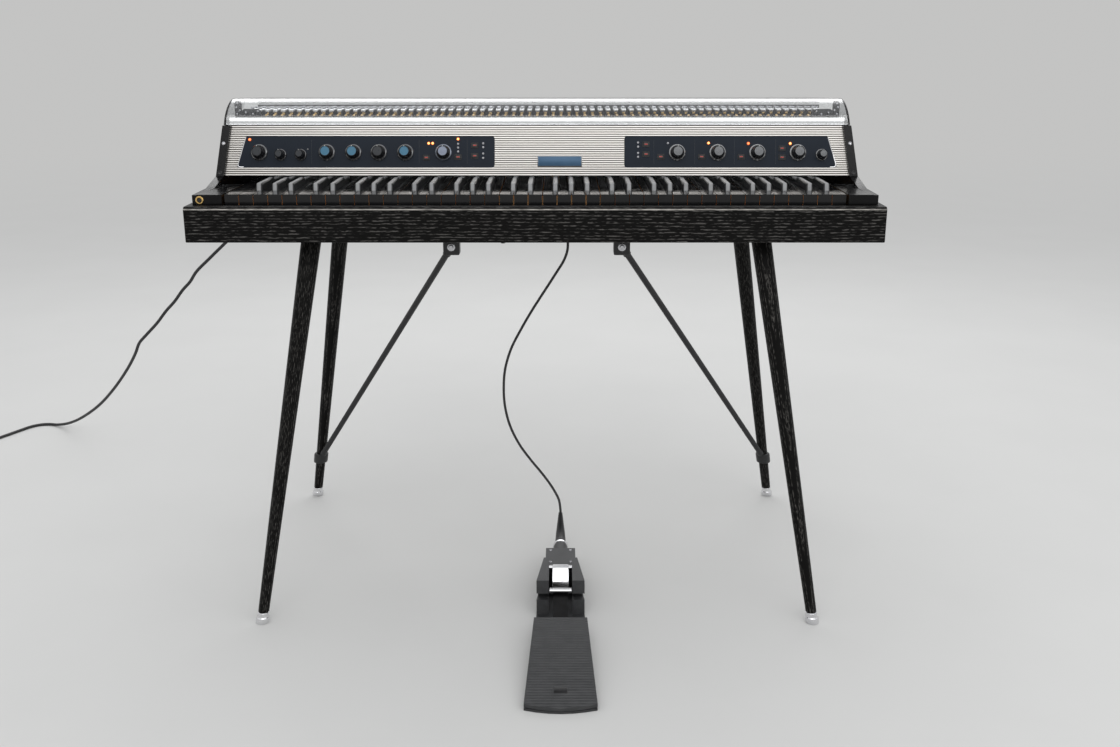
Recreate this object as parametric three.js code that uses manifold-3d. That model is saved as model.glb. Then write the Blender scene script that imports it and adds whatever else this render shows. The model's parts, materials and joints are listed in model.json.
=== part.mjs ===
// Electric piano with 73 keys and struck tone bars under a clear lift-off hood, on four splayed legs
// with cross braces. A sustain pedal stands on the floor on its cable, and a mains lead leaves the back.
// Millimetres, +Z up. The keyboard faces -Y, and +X is to the player's right.

import * as THREE from "three";
import { mergeVertices } from "three/addons/utils/BufferGeometryUtils.js";
import Module from "manifold-3d";

const wasm = await Module();
wasm.setup();

// Clearances
const gap = 0.3;
const overrun = 5;
const keyGap = 1;
const sharpClearance = 1.1;

// Keyboard. Heights below are measured from the tops of the naturals.
const keyTopHeight = 750;
const naturalPitch = 23.5;
const naturalCount = 43;
const naturalDepth = 22;
const stickLength = 322;
const sharpSetback = 50;
const sharpWidth = 10;
const sharpRise = 11.5;
const sharpSlope = 5;
const sharpSkirt = 9;
const sharpRounding = 2;
const stickWidthRise = 8;
const skirtLength = 100;
const joinBarDepth = 12;
const joinBarSpace = 4;
const octavesPlayed = 1;
const firstPlayedNatural = 19;
const keyPivotSetback = 215;
// How far each sharp sits off the line between its two naturals, in key pitches, from the lowest E up.
// A null is a line with no sharp.
const sharpOffsetShares = [0.1, null, -0.13, 0, 0.13, null, -0.115];
const naturalNames = ["c", "d", "e", "f", "g", "a", "b"];

// Case
const caseLedge = 10;
const caseFloorDrop = 74;
const caseBack = 556;
const boardThickness = 12;
const sideThickness = 20;
const sideHeight = 58;
const backThickness = 15;
const railFront = -30;
const railBack = -8.3;
const railRounding = 4;

// Side walls
const keyBlockWidth = 35.75;
const cheekThickness = 14;
const cheekLeanShare = 0.14;
const cheekCorner = 70;
const cheekCornerRise = 1;
const cheekProud = 6;
const keyboardSideGap = 2;

// Ribbed panel behind the keys
const panelSetback = 140;
const panelFoot = 14;
const panelHeight = 87;
const panelThickness = 7;
const panelLean = THREE.MathUtils.degToRad(15);
const ribCount = 23;
const ribDepth = 1.2;
const ribCrestShare = 0.5;
const ribFlankShare = 0.2;

// Control plates, in the plane of the ribbed panel
const plateFoot = 14;
const plateHeight = 54;
const plateThickness = 2.7;
const plateProud = 0.4;
const plateCorner = 5;
const plateSideMargin = 19;
const plateSlant = 16;
const leftPlateInnerShare = 0.1322;
const rightPlateInnerShare = 0.2732;

// Knobs
const shaftRadius = 3;
const knobHeight = 19;
const skirtHeight = 4;
const skirtRadius = 13;
const knobRadius = 10.4;
const smallShare = 0.72;
const capSink = 1.2;
const capShare = 0.66;
const knobSides = 16;
const knobRowShare = 0.4815;
const smallKnobRowShare = 0.4074;

// Keypads
const capWidth = 9;
const capHeight = 6;
const capProud = 1.8;
const webThickness = 1.6;
const webMargin = 4;

// Hood
const hoodWall = 4;
const hoodFrontReach = 52;
const hoodRise = 43;
const hoodBackRadius = 32;
const hoodBackDrop = 13;
const hoodBaseDrop = 13;
const hoodArcSteps = 8;

// Harp frame and tone bars
const harpFront = 190;
const harpDepth = 155;
const harpRailDepth = 16;
const harpThickness = 12;
const harpUnderHood = 2;
const toneBarCount = 73;
const toneBarSpanShare = 0.98;
const toneBarWidthShare = 0.57;
const toneBarThickness = 6;
const toneBarFront = 205;
const toneBarShortLength = 70;
const toneBarLongLength = 120;
const toneRailSetback = 22;
const toneRailDepth = 14;
const toneRailHeight = 26;

// Keybed inside the case
const keybedThickness = 10;
const frontRailDepth = 20;
const keyTravelRoom = 12;
const balanceWidth = 8;
const backRailDepth = 30;
const keybedSideGap = 4;

// Legs, feet and braces
const legTopRadius = 17.5;
const legFootRadius = 9.5;
const footRadius = 12;
const footHeight = 20;
const legSides = 16;
const frontLegSpreadShare = 0.669;
const frontLegSetback = 57;
const rearLegSpreadShare = 0.7044;
const rearLegInset = 91;
const splayOut = 109;
const splayAlong = 94;
const braceRadius = 5.5;
const braceTopSpreadShare = 0.2584;
const braceTopSetback = 90;
const braceTopDrop = 26;
const braceFootHeight = 95;
const bracketWidth = 28;
const bracketDepth = 26;
const bracketHeight = 40;
const braceSides = 10;

// Sustain pedal
const pedalOffset = 41;
const pedalHeelY = -319;
const pedalToeY = -95;
const pedalHeelWidth = 114;
const pedalToeWidth = 91;
const pedalBow = 10;
const bowSteps = 6;
const pedalPlateThickness = 4;
const boardHeelHeight = 9;
const boardToeHeight = 38;
const footboardThickness = 6;
const boardRibCount = 36;
const boardRibDepth = 0.9;
const hingeBoreRoom = 0.4;
const heelPinRadius = 2.4;
const heelBlockHeight = 9;
const tongueWidth = 26;
const tongueEndY = 8;
const tongueThickness = 4;
const uprightFrontY = -15;
const uprightRearY = 95;
const uprightFrontHalf = 43;
const uprightRearHalf = 31;
const uprightInnerHalf = 21;
const uprightHeight = 63;
const uprightFrontSlope = 14;
const uprightSlotFoot = 29;
const uprightSlotTop = 40;
const uprightSlotDepth = 27;
const housingEndY = 165;
const housingHeight = 50;
const housingHalf = 28;
const leverAxleY = 68;
const leverAxleHeight = 56;
const leverAxleRadius = 4;
const leverHalfWidth = 14.5;
const leverThickness = 6;
const leverBarY = -5;
const leverBarRadius = 5;
const leverBarHalf = 19.5;
const leverRise = 4;

// Sustain cable and its two plugs
const cableRadius = 2.5;
const cableSides = 8;
const cableSteps = 56;
const jackX = 55;
const jackY = 300;
const jackRadius = 7;
const jackBarrel = 16;
const jackTaper = 22;
const bootRadius = 14;
const bootNeckRadius = 4.2;
const bootHeight = 30;
const bootReach = 114;
const bootRise = 44;
const bootSides = 14;

// Mains lead, its connector, coil and plug
const leadRadius = 3.5;
const leadSides = 8;
const leadSteps = 66;
const glandInset = 40;
const glandDrop = 35;
const glandHalfWidth = 13;
const glandHalfHeight = 10;
const glandBody = 28;
const glandTaper = 32;
const glandNeckRadius = 5;
const glandRoundShare = 0.4;
const neckRoundShare = 0.8;
const glandSides = 16;
const coilTurnPitch = 7.6;
const coilMiddleRadius = 38.5;
const coilTurnsEachLayer = 2;
const coilLoopSteps = 24;
const coilSides = 6;
const plugHalfWidth = 14;
const plugHalfHeight = 10.4;
const plugTaper = 26;
const plugBody = 34;
const plugNeckRadius = 4.6;
const plugRoundShare = 0.45;
const bladeRoundShare = 0.2;
const pinRadius = 2.3;
const bladeLength = 16;
const bladeWidth = 6.3;
const bladeThickness = 1.5;
const bladeSpread = 6.35;

// Routes of the two free cords, as x, y and z from the middle of the keys' front edge on the floor
const sustainRoute = [
  [55, 300, 619],
  [54, 300, 604],
  [47, 301, 584],
  [33, 302, 561],
  [18, 303, 537],
  [2, 304, 512],
  [-16, 305, 483],
  [-36, 305, 448],
  [-56, 305, 408],
  [-68, 305, 366],
  [-71, 305, 325],
  [-69, 305, 292],
  [-60, 306, 252],
  [-42, 307, 212],
  [-19, 307, 178],
  [2, 307, 151],
  [18, 306, 129],
  [30, 303, 110],
  [38, 296, 95],
];
const leadRoute = [
  [-527, 638, 713],
  [-534, 654, 707],
  [-548, 666, 694],
  [-576, 673, 668],
  [-625, 673, 624],
  [-690, 674, 566],
  [-745, 677, 516],
  [-776, 681, 487],
  [-794, 688, 463],
  [-814, 693, 443],
  [-836, 698, 416],
  [-861, 707, 391],
  [-887, 716, 361],
  [-920, 731, 329],
  [-943, 743, 306],
  [-959, 757, 279],
  [-985, 782, 243],
  [-1021, 815, 200],
  [-1064, 853, 154],
  [-1112, 895, 109],
  [-1164, 939, 69],
  [-1217, 983, 35],
  [-1263, 1020, 13],
  [-1294, 1038, 4.8],
  [-1316, 1045, 3.8],
  [-1338, 1041, 3.8],
  [-1356, 1025, 3.8],
  [-1371, 996, 3.8],
  [-1388, 960, 3.8],
  [-1403, 929, 3.8],
  [-1416, 898, 3.8],
];

// Colours and finishes
const looks = {
  blackWood: { color: 0x14110f, roughness: 0.5, metalness: 0 },
  cheekBlack: { color: 0x0d0d0e, roughness: 0.45, metalness: 0 },
  ribbedAluminium: { color: 0xb9b6b0, roughness: 0.25, metalness: 1 },
  slate: { color: 0x434c57, roughness: 0.5, metalness: 0.2 },
  clearAcrylic: { color: 0xdfe6ea, roughness: 0.05, metalness: 0 },
  chrome: { color: 0xd8d8da, roughness: 0.12, metalness: 1 },
  blackSteel: { color: 0x111113, roughness: 0.4, metalness: 0.6 },
  naturalBlack: { color: 0x060607, roughness: 0.12, metalness: 0 },
  sharpGrey: { color: 0x8e9093, roughness: 0.45, metalness: 0 },
  keybedWood: { color: 0xa07850, roughness: 0.6, metalness: 0 },
  harpMetal: { color: 0x8d8f92, roughness: 0.3, metalness: 1 },
  knobBlack: { color: 0x1b1c1f, roughness: 0.3, metalness: 0.3 },
  silver: { color: 0xb4b8bd, roughness: 0.22, metalness: 1 },
  keypadRed: { color: 0x6d2f2c, roughness: 0.5, metalness: 0 },
  castGrey: { color: 0x55575a, roughness: 0.5, metalness: 0.7 },
  boardGrey: { color: 0x3a3b3d, roughness: 0.55, metalness: 0.5 },
  cordBlack: { color: 0x0c0c0d, roughness: 0.6, metalness: 0 },
};

// Shared places worked out from the sizes above
const keyboardHalf = (naturalPitch * naturalCount) / 2;
const cheekHalfWidth = keyboardHalf + keyBlockWidth + cheekThickness;
const caseHalfWidth = cheekHalfWidth + caseLedge;
const frontLegSpread = caseHalfWidth * frontLegSpreadShare;
const rearLegSpread = caseHalfWidth * rearLegSpreadShare;
const rearLegSetback = caseBack - rearLegInset;
const braceTopSpread = caseHalfWidth * braceTopSpreadShare;
const glandX = glandInset - caseHalfWidth;
const caseFloorHeight = keyTopHeight - caseFloorDrop;
const sideTop = sideHeight - caseFloorDrop;
const panelTopSetback = panelSetback + panelHeight * Math.sin(panelLean);
const panelTop = panelFoot + panelHeight * Math.cos(panelLean);
const hoodBase = panelTop + gap;
const cheekFoot = sideTop + gap;
const harpTop = hoodBase - harpUnderHood;
const rearFootY = rearLegSetback + splayAlong;
const footReach = footRadius * Math.cos(Math.PI / legSides);
const frameMiddleY = (pedalHeelY - pedalBow + rearFootY + footReach) / 2;

// Half the width between the outer faces of the side walls at a height above the keys.
function outerHalf(z) {
  return cheekHalfWidth - cheekLeanShare * Math.max(0, z - panelFoot);
}

// Half the width between the inner faces of the side walls.
function innerHalf(z) {
  return outerHalf(z) - cheekThickness;
}

// Height of the hood's lower edge above the keys, falling towards the back.
function hoodEdge(y) {
  const share = (y - panelTopSetback) / (caseBack - panelTopSetback);
  return hoodBase - hoodBaseDrop * share;
}

// Geometry helpers
function polygon(points) {
  return new THREE.Shape(points.map(([x, y]) => new THREE.Vector2(x, y)));
}

// A polygon whose corners are rounded off by a radius.
function roundedPolygon(points, radius) {
  const shape = new THREE.Shape();
  points.forEach((point, i) => {
    const corner = new THREE.Vector2(...point);
    const before = new THREE.Vector2(...points[(i + points.length - 1) % points.length]);
    const after = new THREE.Vector2(...points[(i + 1) % points.length]);
    const start = before.sub(corner).setLength(radius).add(corner);
    const end = after.sub(corner).setLength(radius).add(corner);
    if (i === 0) shape.moveTo(start.x, start.y);
    else shape.lineTo(start.x, start.y);
    shape.quadraticCurveTo(corner.x, corner.y, end.x, end.y);
  });
  shape.closePath();
  return shape;
}

function extrudeZ(shape, low, high, curveSegments = 3) {
  const geometry = new THREE.ExtrudeGeometry(shape, {
    depth: high - low,
    bevelEnabled: false,
    curveSegments,
  });
  return geometry.translate(0, 0, low);
}

// Turns an outline's own x, y and depth into y, z and x.
const outlineToX = new THREE.Matrix4().makeBasis(
  new THREE.Vector3(0, 1, 0),
  new THREE.Vector3(0, 0, 1),
  new THREE.Vector3(1, 0, 0),
);

// An outline drawn in y and z, carried along X.
function extrudeX(shape, low, high, curveSegments = 3) {
  return extrudeZ(shape, low, high, curveSegments).applyMatrix4(outlineToX);
}

function box(low, high) {
  const size = high.map((value, i) => value - low[i]);
  const geometry = new THREE.BoxGeometry(...size);
  return geometry.translate(...low.map((value, i) => value + size[i] / 2));
}

// Moves every point's x by a function of the point.
function reshapeX(geometry, newX) {
  const position = geometry.attributes.position;
  for (let i = 0; i < position.count; i++) {
    const point = new THREE.Vector3().fromBufferAttribute(position, i);
    position.setX(i, newX(point));
  }
  geometry.computeVertexNormals();
  return geometry;
}

function toSolid(geometry) {
  const bare = geometry.clone();
  bare.deleteAttribute("normal");
  bare.deleteAttribute("uv");
  const merged = mergeVertices(bare);
  const vertProperties = new Float32Array(merged.attributes.position.array);
  const triVerts = new Uint32Array(merged.index.array);
  return new wasm.Manifold(new wasm.Mesh({ numProp: 3, vertProperties, triVerts }));
}

function toGeometry(solid) {
  const result = solid.getMesh();
  const geometry = new THREE.BufferGeometry();
  const points = new THREE.Float32BufferAttribute(result.vertProperties, 3);
  geometry.setAttribute("position", points);
  geometry.setIndex(new THREE.Uint32BufferAttribute(result.triVerts, 1));
  geometry.computeVertexNormals();
  return geometry;
}

function join(geometries) {
  return toGeometry(geometries.map(toSolid).reduce((all, one) => all.add(one)));
}

function cut(geometry, tools) {
  return toGeometry(tools.map(toSolid).reduce((left, tool) => left.subtract(tool), toSolid(geometry)));
}

function common(geometry, tool) {
  return toGeometry(toSolid(geometry).intersect(toSolid(tool)));
}

// A closed solid through rings of equally many points, with flat ends. Rings may be stacked either way.
function loft(stack) {
  const sum = (ring) => ring.reduce((total, point) => total.add(point), new THREE.Vector3());
  const middle = (ring) => sum(ring).divideScalar(ring.length);
  const edge = (ring, i) => ring[i + 1].clone().sub(ring[i]);
  const normal = edge(stack[0], 0).cross(edge(stack[0], 1));
  const along = middle(stack[1]).sub(middle(stack[0]));
  const rings = normal.dot(along) > 0 ? stack : stack.map((ring) => [...ring].reverse());
  const count = rings[0].length;
  const points = rings.flat();
  const faces = [];
  for (let r = 0; r + 1 < rings.length; r++) {
    for (let i = 0; i < count; i++) {
      const a = r * count + i;
      const b = r * count + ((i + 1) % count);
      faces.push(a, b, b + count, a, b + count, a + count);
    }
  }
  const first = points.length;
  points.push(middle(rings[0]), middle(rings[rings.length - 1]));
  const last = (rings.length - 1) * count;
  for (let i = 0; i < count; i++) {
    const next = (i + 1) % count;
    faces.push(first, next, i, first + 1, last + i, last + next);
  }
  const geometry = new THREE.BufferGeometry().setFromPoints(points);
  geometry.setIndex(faces);
  geometry.computeVertexNormals();
  return geometry;
}

// A ring of points round a centre, square to a direction. A low roundness gives a rounded rectangle.
function ring(centre, direction, halfWidth, halfHeight, sides, roundness = 1) {
  const along = direction.clone().normalize();
  const lead = Math.abs(along.x) > Math.SQRT1_2 ? new THREE.Vector3(0, 1, 0) : new THREE.Vector3(1, 0, 0);
  const side = lead.sub(along.clone().multiplyScalar(lead.dot(along))).normalize();
  const up = new THREE.Vector3().crossVectors(along, side);
  const soften = (value) => Math.sign(value) * Math.abs(value) ** roundness;
  return Array.from({ length: sides }, (_, i) => {
    const angle = (2 * Math.PI * (i + 1 / 2)) / sides;
    return centre
      .clone()
      .addScaledVector(side, halfWidth * soften(Math.cos(angle)))
      .addScaledVector(up, halfHeight * soften(Math.sin(angle)));
  });
}

// A level ring, for posts whose ends stand flat.
function levelRing(centre, radius, sides) {
  return ring(centre, new THREE.Vector3(0, 0, 1), radius, radius, sides);
}

// A straight rod between two points, square at both ends.
function rod(from, to, radius, sides) {
  const along = to.clone().sub(from);
  return loft([ring(from, along, radius, radius, sides), ring(to, along, radius, radius, sides)]);
}

// A round tube along a curve.
function cordTube(curve, radius, sides, steps) {
  const section = Array.from({ length: sides }, (_, i) => {
    const angle = (2 * Math.PI * i) / sides;
    return new THREE.Vector2(radius * Math.cos(angle), radius * Math.sin(angle));
  });
  return new THREE.ExtrudeGeometry(new THREE.Shape(section), {
    steps,
    bevelEnabled: false,
    extrudePath: curve,
  });
}

function curveThrough(points) {
  return new THREE.CatmullRomCurve3(points, false, "centripetal");
}

function vectors(rows) {
  return rows.map((row) => new THREE.Vector3(...row));
}

function add(parent, name, geometry, look) {
  const mesh = new THREE.Mesh(geometry, new THREE.MeshStandardMaterial(looks[look]));
  mesh.name = name;
  parent.add(mesh);
  return mesh;
}

const piano = new THREE.Group();
piano.position.y = -frameMiddleY;
const upper = new THREE.Group();
upper.position.z = keyTopHeight;
piano.add(upper);

// Case tray: bottom board, two side boards and the back wall, which rises to the hood's lower edge.
function caseTray() {
  const innerFront = railBack + gap;
  const bottom = -caseFloorDrop;
  const inner = caseHalfWidth - sideThickness;
  const floorBoard = box(
    [-caseHalfWidth, innerFront, bottom],
    [caseHalfWidth, caseBack, bottom + boardThickness],
  );
  const sides = [-1, 1].map((side) => {
    const edges = [side * inner, side * caseHalfWidth].sort((a, b) => a - b);
    return box([edges[0], innerFront, bottom], [edges[1], caseBack, sideTop]);
  });
  const backLow = innerHalf(panelFoot) - gap;
  const backWall = extrudeX(
    polygon([
      [caseBack - backThickness, bottom],
      [caseBack, bottom],
      [caseBack, hoodEdge(caseBack) - gap],
      [caseBack - backThickness, hoodEdge(caseBack) - gap],
    ]),
    -backLow,
    backLow,
  );
  const leaned = reshapeX(backWall, ({ x, z }) => Math.sign(x) * (innerHalf(z) - gap));
  const lowerBack = box(
    [-caseHalfWidth, caseBack - backThickness, bottom],
    [caseHalfWidth, caseBack, sideTop],
  );
  return join([floorBoard, ...sides, leaned, lowerBack]);
}

// Front rail with a softened top edge.
function frontRail() {
  const bottom = -caseFloorDrop;
  const outline = polygon([
    [railFront, bottom],
    [railBack, bottom],
    [railBack, sideTop],
    [railFront + railRounding, sideTop],
    [railFront, sideTop - railRounding],
  ]);
  return extrudeX(outline, -caseHalfWidth, caseHalfWidth);
}

// Side wall: upright beside the keys, leaning inwards above them, with the block next to the keyboard.
function cheek(side) {
  const front = railBack + gap;
  const foot = panelFoot;
  const outer = cheekHalfWidth;
  const inner = cheekHalfWidth - cheekThickness;
  const lower = extrudeX(
    polygon([
      [front, cheekFoot],
      [caseBack, cheekFoot],
      [caseBack, foot],
      [panelSetback - cheekProud, foot],
      [cheekCorner, cheekCornerRise],
      [front, 0],
    ]),
    inner,
    outer,
  );
  const upperWall = extrudeX(
    polygon([
      [panelSetback - cheekProud, foot],
      [caseBack, foot],
      [caseBack, hoodEdge(caseBack) - gap],
      [panelTopSetback - cheekProud, hoodEdge(panelTopSetback) - gap],
    ]),
    inner,
    outer,
  );
  const leaned = reshapeX(upperWall, ({ x, z }) => x - cheekLeanShare * (z - foot));
  const blockTop = cheekCornerRise / 2;
  const block = box(
    [keyboardHalf + keyboardSideGap, front, cheekFoot],
    [inner + cheekThickness / 2, panelSetback - cheekProud, blockTop],
  );
  const wall = join([lower, leaned, block]);
  if (side > 0) return wall;
  return join([mirrorX(wall)]);
}

// The same solid on the other side of the middle, with its faces still pointing out.
function mirrorX(geometry) {
  const mirrored = geometry.clone().applyMatrix4(new THREE.Matrix4().makeScale(-1, 1, 1));
  const index = mirrored.index.array;
  for (let i = 0; i < index.length; i += 3) {
    [index[i], index[i + 1]] = [index[i + 1], index[i]];
  }
  return mirrored;
}

add(upper, "case_tray", caseTray(), "blackWood");
add(upper, "front_rail", frontRail(), "blackWood");
add(upper, "left_cheek", cheek(-1), "cheekBlack");
add(upper, "right_cheek", cheek(1), "cheekBlack");

// The ribbed panel's own frame: x along it, y up its slope, z out of its face.
const panel = new THREE.Group();
panel.position.set(0, panelSetback, panelFoot);
panel.rotation.x = Math.PI / 2 - panelLean;
upper.add(panel);

function panelHeightAt(slope) {
  return panelFoot + slope * Math.cos(panelLean);
}

// The corners of a control plate: square inner end, outer end slanted like the side walls.
function plateCorners(side, grow) {
  const innerShare = side < 0 ? leftPlateInnerShare : rightPlateInnerShare;
  const inner = side * cheekHalfWidth * innerShare;
  const outerLow = side * (innerHalf(panelHeightAt(plateFoot)) - plateSideMargin);
  const outerHigh = outerLow - side * plateSlant;
  const low = plateFoot - grow;
  const high = plateFoot + plateHeight + grow;
  return [
    [inner - side * grow, low],
    [outerLow + side * grow, low],
    [outerHigh + side * grow, high],
    [inner - side * grow, high],
  ];
}

function plateShape(side, grow) {
  const corners = plateCorners(side, grow);
  return roundedPolygon(side < 0 ? corners.reverse() : corners, plateCorner + grow);
}

function nameRail() {
  const pitch = panelHeight / ribCount;
  const outline = [
    [0, -panelThickness],
    [panelHeight, -panelThickness],
  ];
  for (let rib = ribCount - 1; rib >= 0; rib--) {
    const foot = rib * pitch;
    const valley = ribFlankShare * pitch;
    const crest = ribCrestShare * pitch;
    outline.push([foot + pitch - (rib < ribCount - 1 ? 0 : gap), -ribDepth]);
    outline.push([foot + valley + crest, 0]);
    outline.push([foot + valley, 0]);
  }
  outline.push([0, -ribDepth]);
  const half = innerHalf(panelFoot) - gap;
  const plain = extrudeX(polygon(outline.reverse()), -half, half);
  const depthDrop = (z) => z * Math.sin(panelLean);
  const leaned = reshapeX(
    plain,
    ({ x, y, z }) => Math.sign(x) * (innerHalf(panelHeightAt(y) + depthDrop(z)) - gap),
  );
  const windows = [-1, 1].map((side) => extrudeZ(plateShape(side, gap), -panelThickness - overrun, overrun));
  return cut(leaned, windows);
}

// Where each control sits, as shares of its plate: across from the inner end, and up from the lower edge.
const leftKnobs = [
  { name: "knob_power", acrossShare: 0.9125, upShare: knobRowShare, sizeShare: 1 },
  { name: "knob_trim_low", acrossShare: 0.8296, upShare: smallKnobRowShare, sizeShare: smallShare },
  { name: "knob_trim_high", acrossShare: 0.7513, upShare: smallKnobRowShare, sizeShare: smallShare },
  { name: "knob_tone_1", acrossShare: 0.6505, upShare: knobRowShare, sizeShare: 1 },
  { name: "knob_tone_2", acrossShare: 0.5476, upShare: knobRowShare, sizeShare: 1 },
  { name: "knob_tone_3", acrossShare: 0.4491, upShare: knobRowShare, sizeShare: 1 },
  { name: "knob_tone_4", acrossShare: 0.3461, upShare: knobRowShare, sizeShare: 1 },
  { name: "knob_vibrato", acrossShare: 0.1983, upShare: knobRowShare, sizeShare: 1, look: "silver" },
];
const rightKnobs = [
  { name: "knob_effect_1", acrossShare: 0.248, upShare: knobRowShare, sizeShare: 1 },
  { name: "knob_effect_2", acrossShare: 0.438, upShare: knobRowShare, sizeShare: 1 },
  { name: "knob_effect_3", acrossShare: 0.6252, upShare: knobRowShare, sizeShare: 1 },
  { name: "knob_effect_4", acrossShare: 0.8152, upShare: knobRowShare, sizeShare: 1 },
  { name: "knob_balance", acrossShare: 0.9265, upShare: smallKnobRowShare, sizeShare: smallShare },
];
const leftButtonShares = [
  [0.2644, 0.3148],
  [0.1413, 0.3333],
  [0.0768, 0.7037],
  [0.0768, 0.3704],
];
const rightButtonShares = [
  [0.1015, 0.7407],
  [0.1015, 0.4259],
  [0.1707, 0.3426],
  [0.3628, 0.3426],
  [0.5487, 0.3426],
  [0.7406, 0.6111],
  [0.7406, 0.3241],
];

// A place on a control plate, from its shares across and up.
function placeOnPlate(side, acrossShare, upShare) {
  const [innerLow, outerLow] = plateCorners(side, 0);
  return [
    innerLow[0] + (outerLow[0] - innerLow[0]) * acrossShare,
    plateFoot + plateHeight * upShare,
  ];
}

function knobPlaces(side, knobs) {
  return knobs.map(({ acrossShare, upShare }) => placeOnPlate(side, acrossShare, upShare));
}

function buttonPlaces(side, shares) {
  return shares.map(([acrossShare, upShare]) => placeOnPlate(side, acrossShare, upShare));
}

function capCorners([x, y], grow) {
  const halfWidth = capWidth / 2 + grow;
  const halfHeight = capHeight / 2 + grow;
  return [
    [x - halfWidth, y - halfHeight],
    [x - halfWidth, y + halfHeight],
    [x + halfWidth, y + halfHeight],
    [x + halfWidth, y - halfHeight],
  ];
}

function controlPlate(side, knobs, buttons) {
  const low = plateProud - plateThickness;
  const plate = extrudeZ(plateShape(side, 0), low, plateProud);
  const shafts = knobPlaces(side, knobs).map(([x, y]) => {
    const bottom = new THREE.Vector3(x, y, low - overrun);
    return rod(bottom, bottom.clone().setZ(plateProud + overrun), shaftRadius + gap, knobSides);
  });
  const slots = buttons.map((place) => {
    return extrudeZ(polygon(capCorners(place, gap)), low - overrun, plateProud + overrun);
  });
  return cut(plate, [...shafts, ...slots]);
}

// A knob: shaft through the plate, flared skirt, body and a sunk cap.
function knob(share) {
  const skirt = skirtRadius * share;
  const body = knobRadius * share;
  const cap = body * capShare;
  const foot = plateProud + gap;
  const profile = [
    [0, plateProud - plateThickness],
    [shaftRadius, plateProud - plateThickness],
    [shaftRadius, foot],
    [skirt, foot],
    [body, foot + skirtHeight],
    [body * (1 - capSink / knobHeight), foot + knobHeight],
    [cap, foot + knobHeight],
    [cap, foot + knobHeight - capSink],
    [0, foot + knobHeight - capSink],
  ];
  const lathe = new THREE.LatheGeometry(vectors2(profile), knobSides);
  return lathe.rotateX(Math.PI / 2);
}

function vectors2(rows) {
  return rows.map((row) => new THREE.Vector2(...row));
}

// A keypad: caps that stand out through the plate, joined by a rubber web behind it.
function keypad(buttons) {
  const xs = buttons.map(([x]) => x);
  const ys = buttons.map(([, y]) => y);
  const reach = [capWidth / 2 + webMargin, capHeight / 2 + webMargin];
  const webTop = plateProud - plateThickness - gap;
  const web = box(
    [Math.min(...xs) - reach[0], Math.min(...ys) - reach[1], webTop - webThickness],
    [Math.max(...xs) + reach[0], Math.max(...ys) + reach[1], webTop],
  );
  const caps = buttons.map((place) => {
    return extrudeZ(polygon(capCorners(place, 0)), webTop - webThickness / 2, plateProud + capProud);
  });
  return join([web, ...caps]);
}

const leftButtons = buttonPlaces(-1, leftButtonShares);
const rightButtons = buttonPlaces(1, rightButtonShares);
add(panel, "name_rail", nameRail(), "ribbedAluminium");
add(panel, "control_panel_left", controlPlate(-1, leftKnobs, leftButtons), "slate");
add(panel, "control_panel_right", controlPlate(1, rightKnobs, rightButtons), "slate");
add(panel, "keypad_left", keypad(leftButtons), "keypadRed");
add(panel, "keypad_right", keypad(rightButtons), "keypadRed");
[
  [-1, leftKnobs],
  [1, rightKnobs],
].forEach(([side, knobs]) => {
  knobPlaces(side, knobs).forEach(([x, y], i) => {
    const { name, sizeShare, look } = knobs[i];
    const mesh = add(panel, name, knob(sizeShare), look ?? "knobBlack");
    mesh.position.set(x, y, 0);
  });
});

// The hood's outline from its front lower edge over the top to its back lower edge, drawn inside by inset.
function hoodOutline(inset) {
  const bottomDrop = inset > 0 ? overrun : 0;
  const reach = hoodFrontReach - inset;
  const rise = hoodRise - inset;
  const frontCentre = [panelTopSetback + hoodFrontReach, hoodBase];
  const backCentre = [caseBack - hoodBackRadius, hoodBase - hoodBaseDrop];
  const backRise = hoodRise - hoodBackDrop + hoodBaseDrop - inset;
  const backReach = hoodBackRadius - inset;
  const points = [[frontCentre[0] - reach, hoodEdge(frontCentre[0] - reach) - bottomDrop]];
  for (let i = inset > 0 ? 0 : 1; i <= hoodArcSteps; i++) {
    const angle = (Math.PI / 2) * (i / hoodArcSteps);
    points.push([frontCentre[0] - reach * Math.cos(angle), frontCentre[1] + rise * Math.sin(angle)]);
  }
  for (let i = hoodArcSteps; i >= 1; i--) {
    const angle = (Math.PI / 2) * (i / hoodArcSteps);
    points.push([backCentre[0] + backReach * Math.cos(angle), backCentre[1] + backRise * Math.sin(angle)]);
  }
  points.push([backCentre[0] + backReach, hoodEdge(backCentre[0] + backReach) - bottomDrop]);
  return points.reverse();
}

// Clear hood: a domed cover, open below, whose ends carry on the lean of the side walls.
function hood() {
  const half = outerHalf(hoodBase);
  const outer = extrudeX(polygon(hoodOutline(0)), -half, half);
  const inner = extrudeX(polygon(hoodOutline(hoodWall)), -half, half);
  reshapeX(outer, ({ x, z }) => Math.sign(x) * outerHalf(z));
  reshapeX(inner, ({ x, z }) => Math.sign(x) * (outerHalf(z) - hoodWall));
  return cut(outer, [inner]);
}

// Harp frame: four rails round an open middle, its ends seated between the side walls.
function harpFrame() {
  const half = innerHalf(harpTop) - gap;
  const back = harpFront + harpDepth;
  const frame = polygon([
    [-half, harpFront],
    [half, harpFront],
    [half, back],
    [-half, back],
  ]);
  const innerX = half - harpRailDepth;
  frame.holes.push(
    new THREE.Path(
      vectors2([
        [-innerX, harpFront + harpRailDepth],
        [-innerX, back - harpRailDepth],
        [innerX, back - harpRailDepth],
        [innerX, harpFront + harpRailDepth],
      ]),
    ),
  );
  return extrudeZ(frame, harpTop - harpThickness, harpTop);
}

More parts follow.
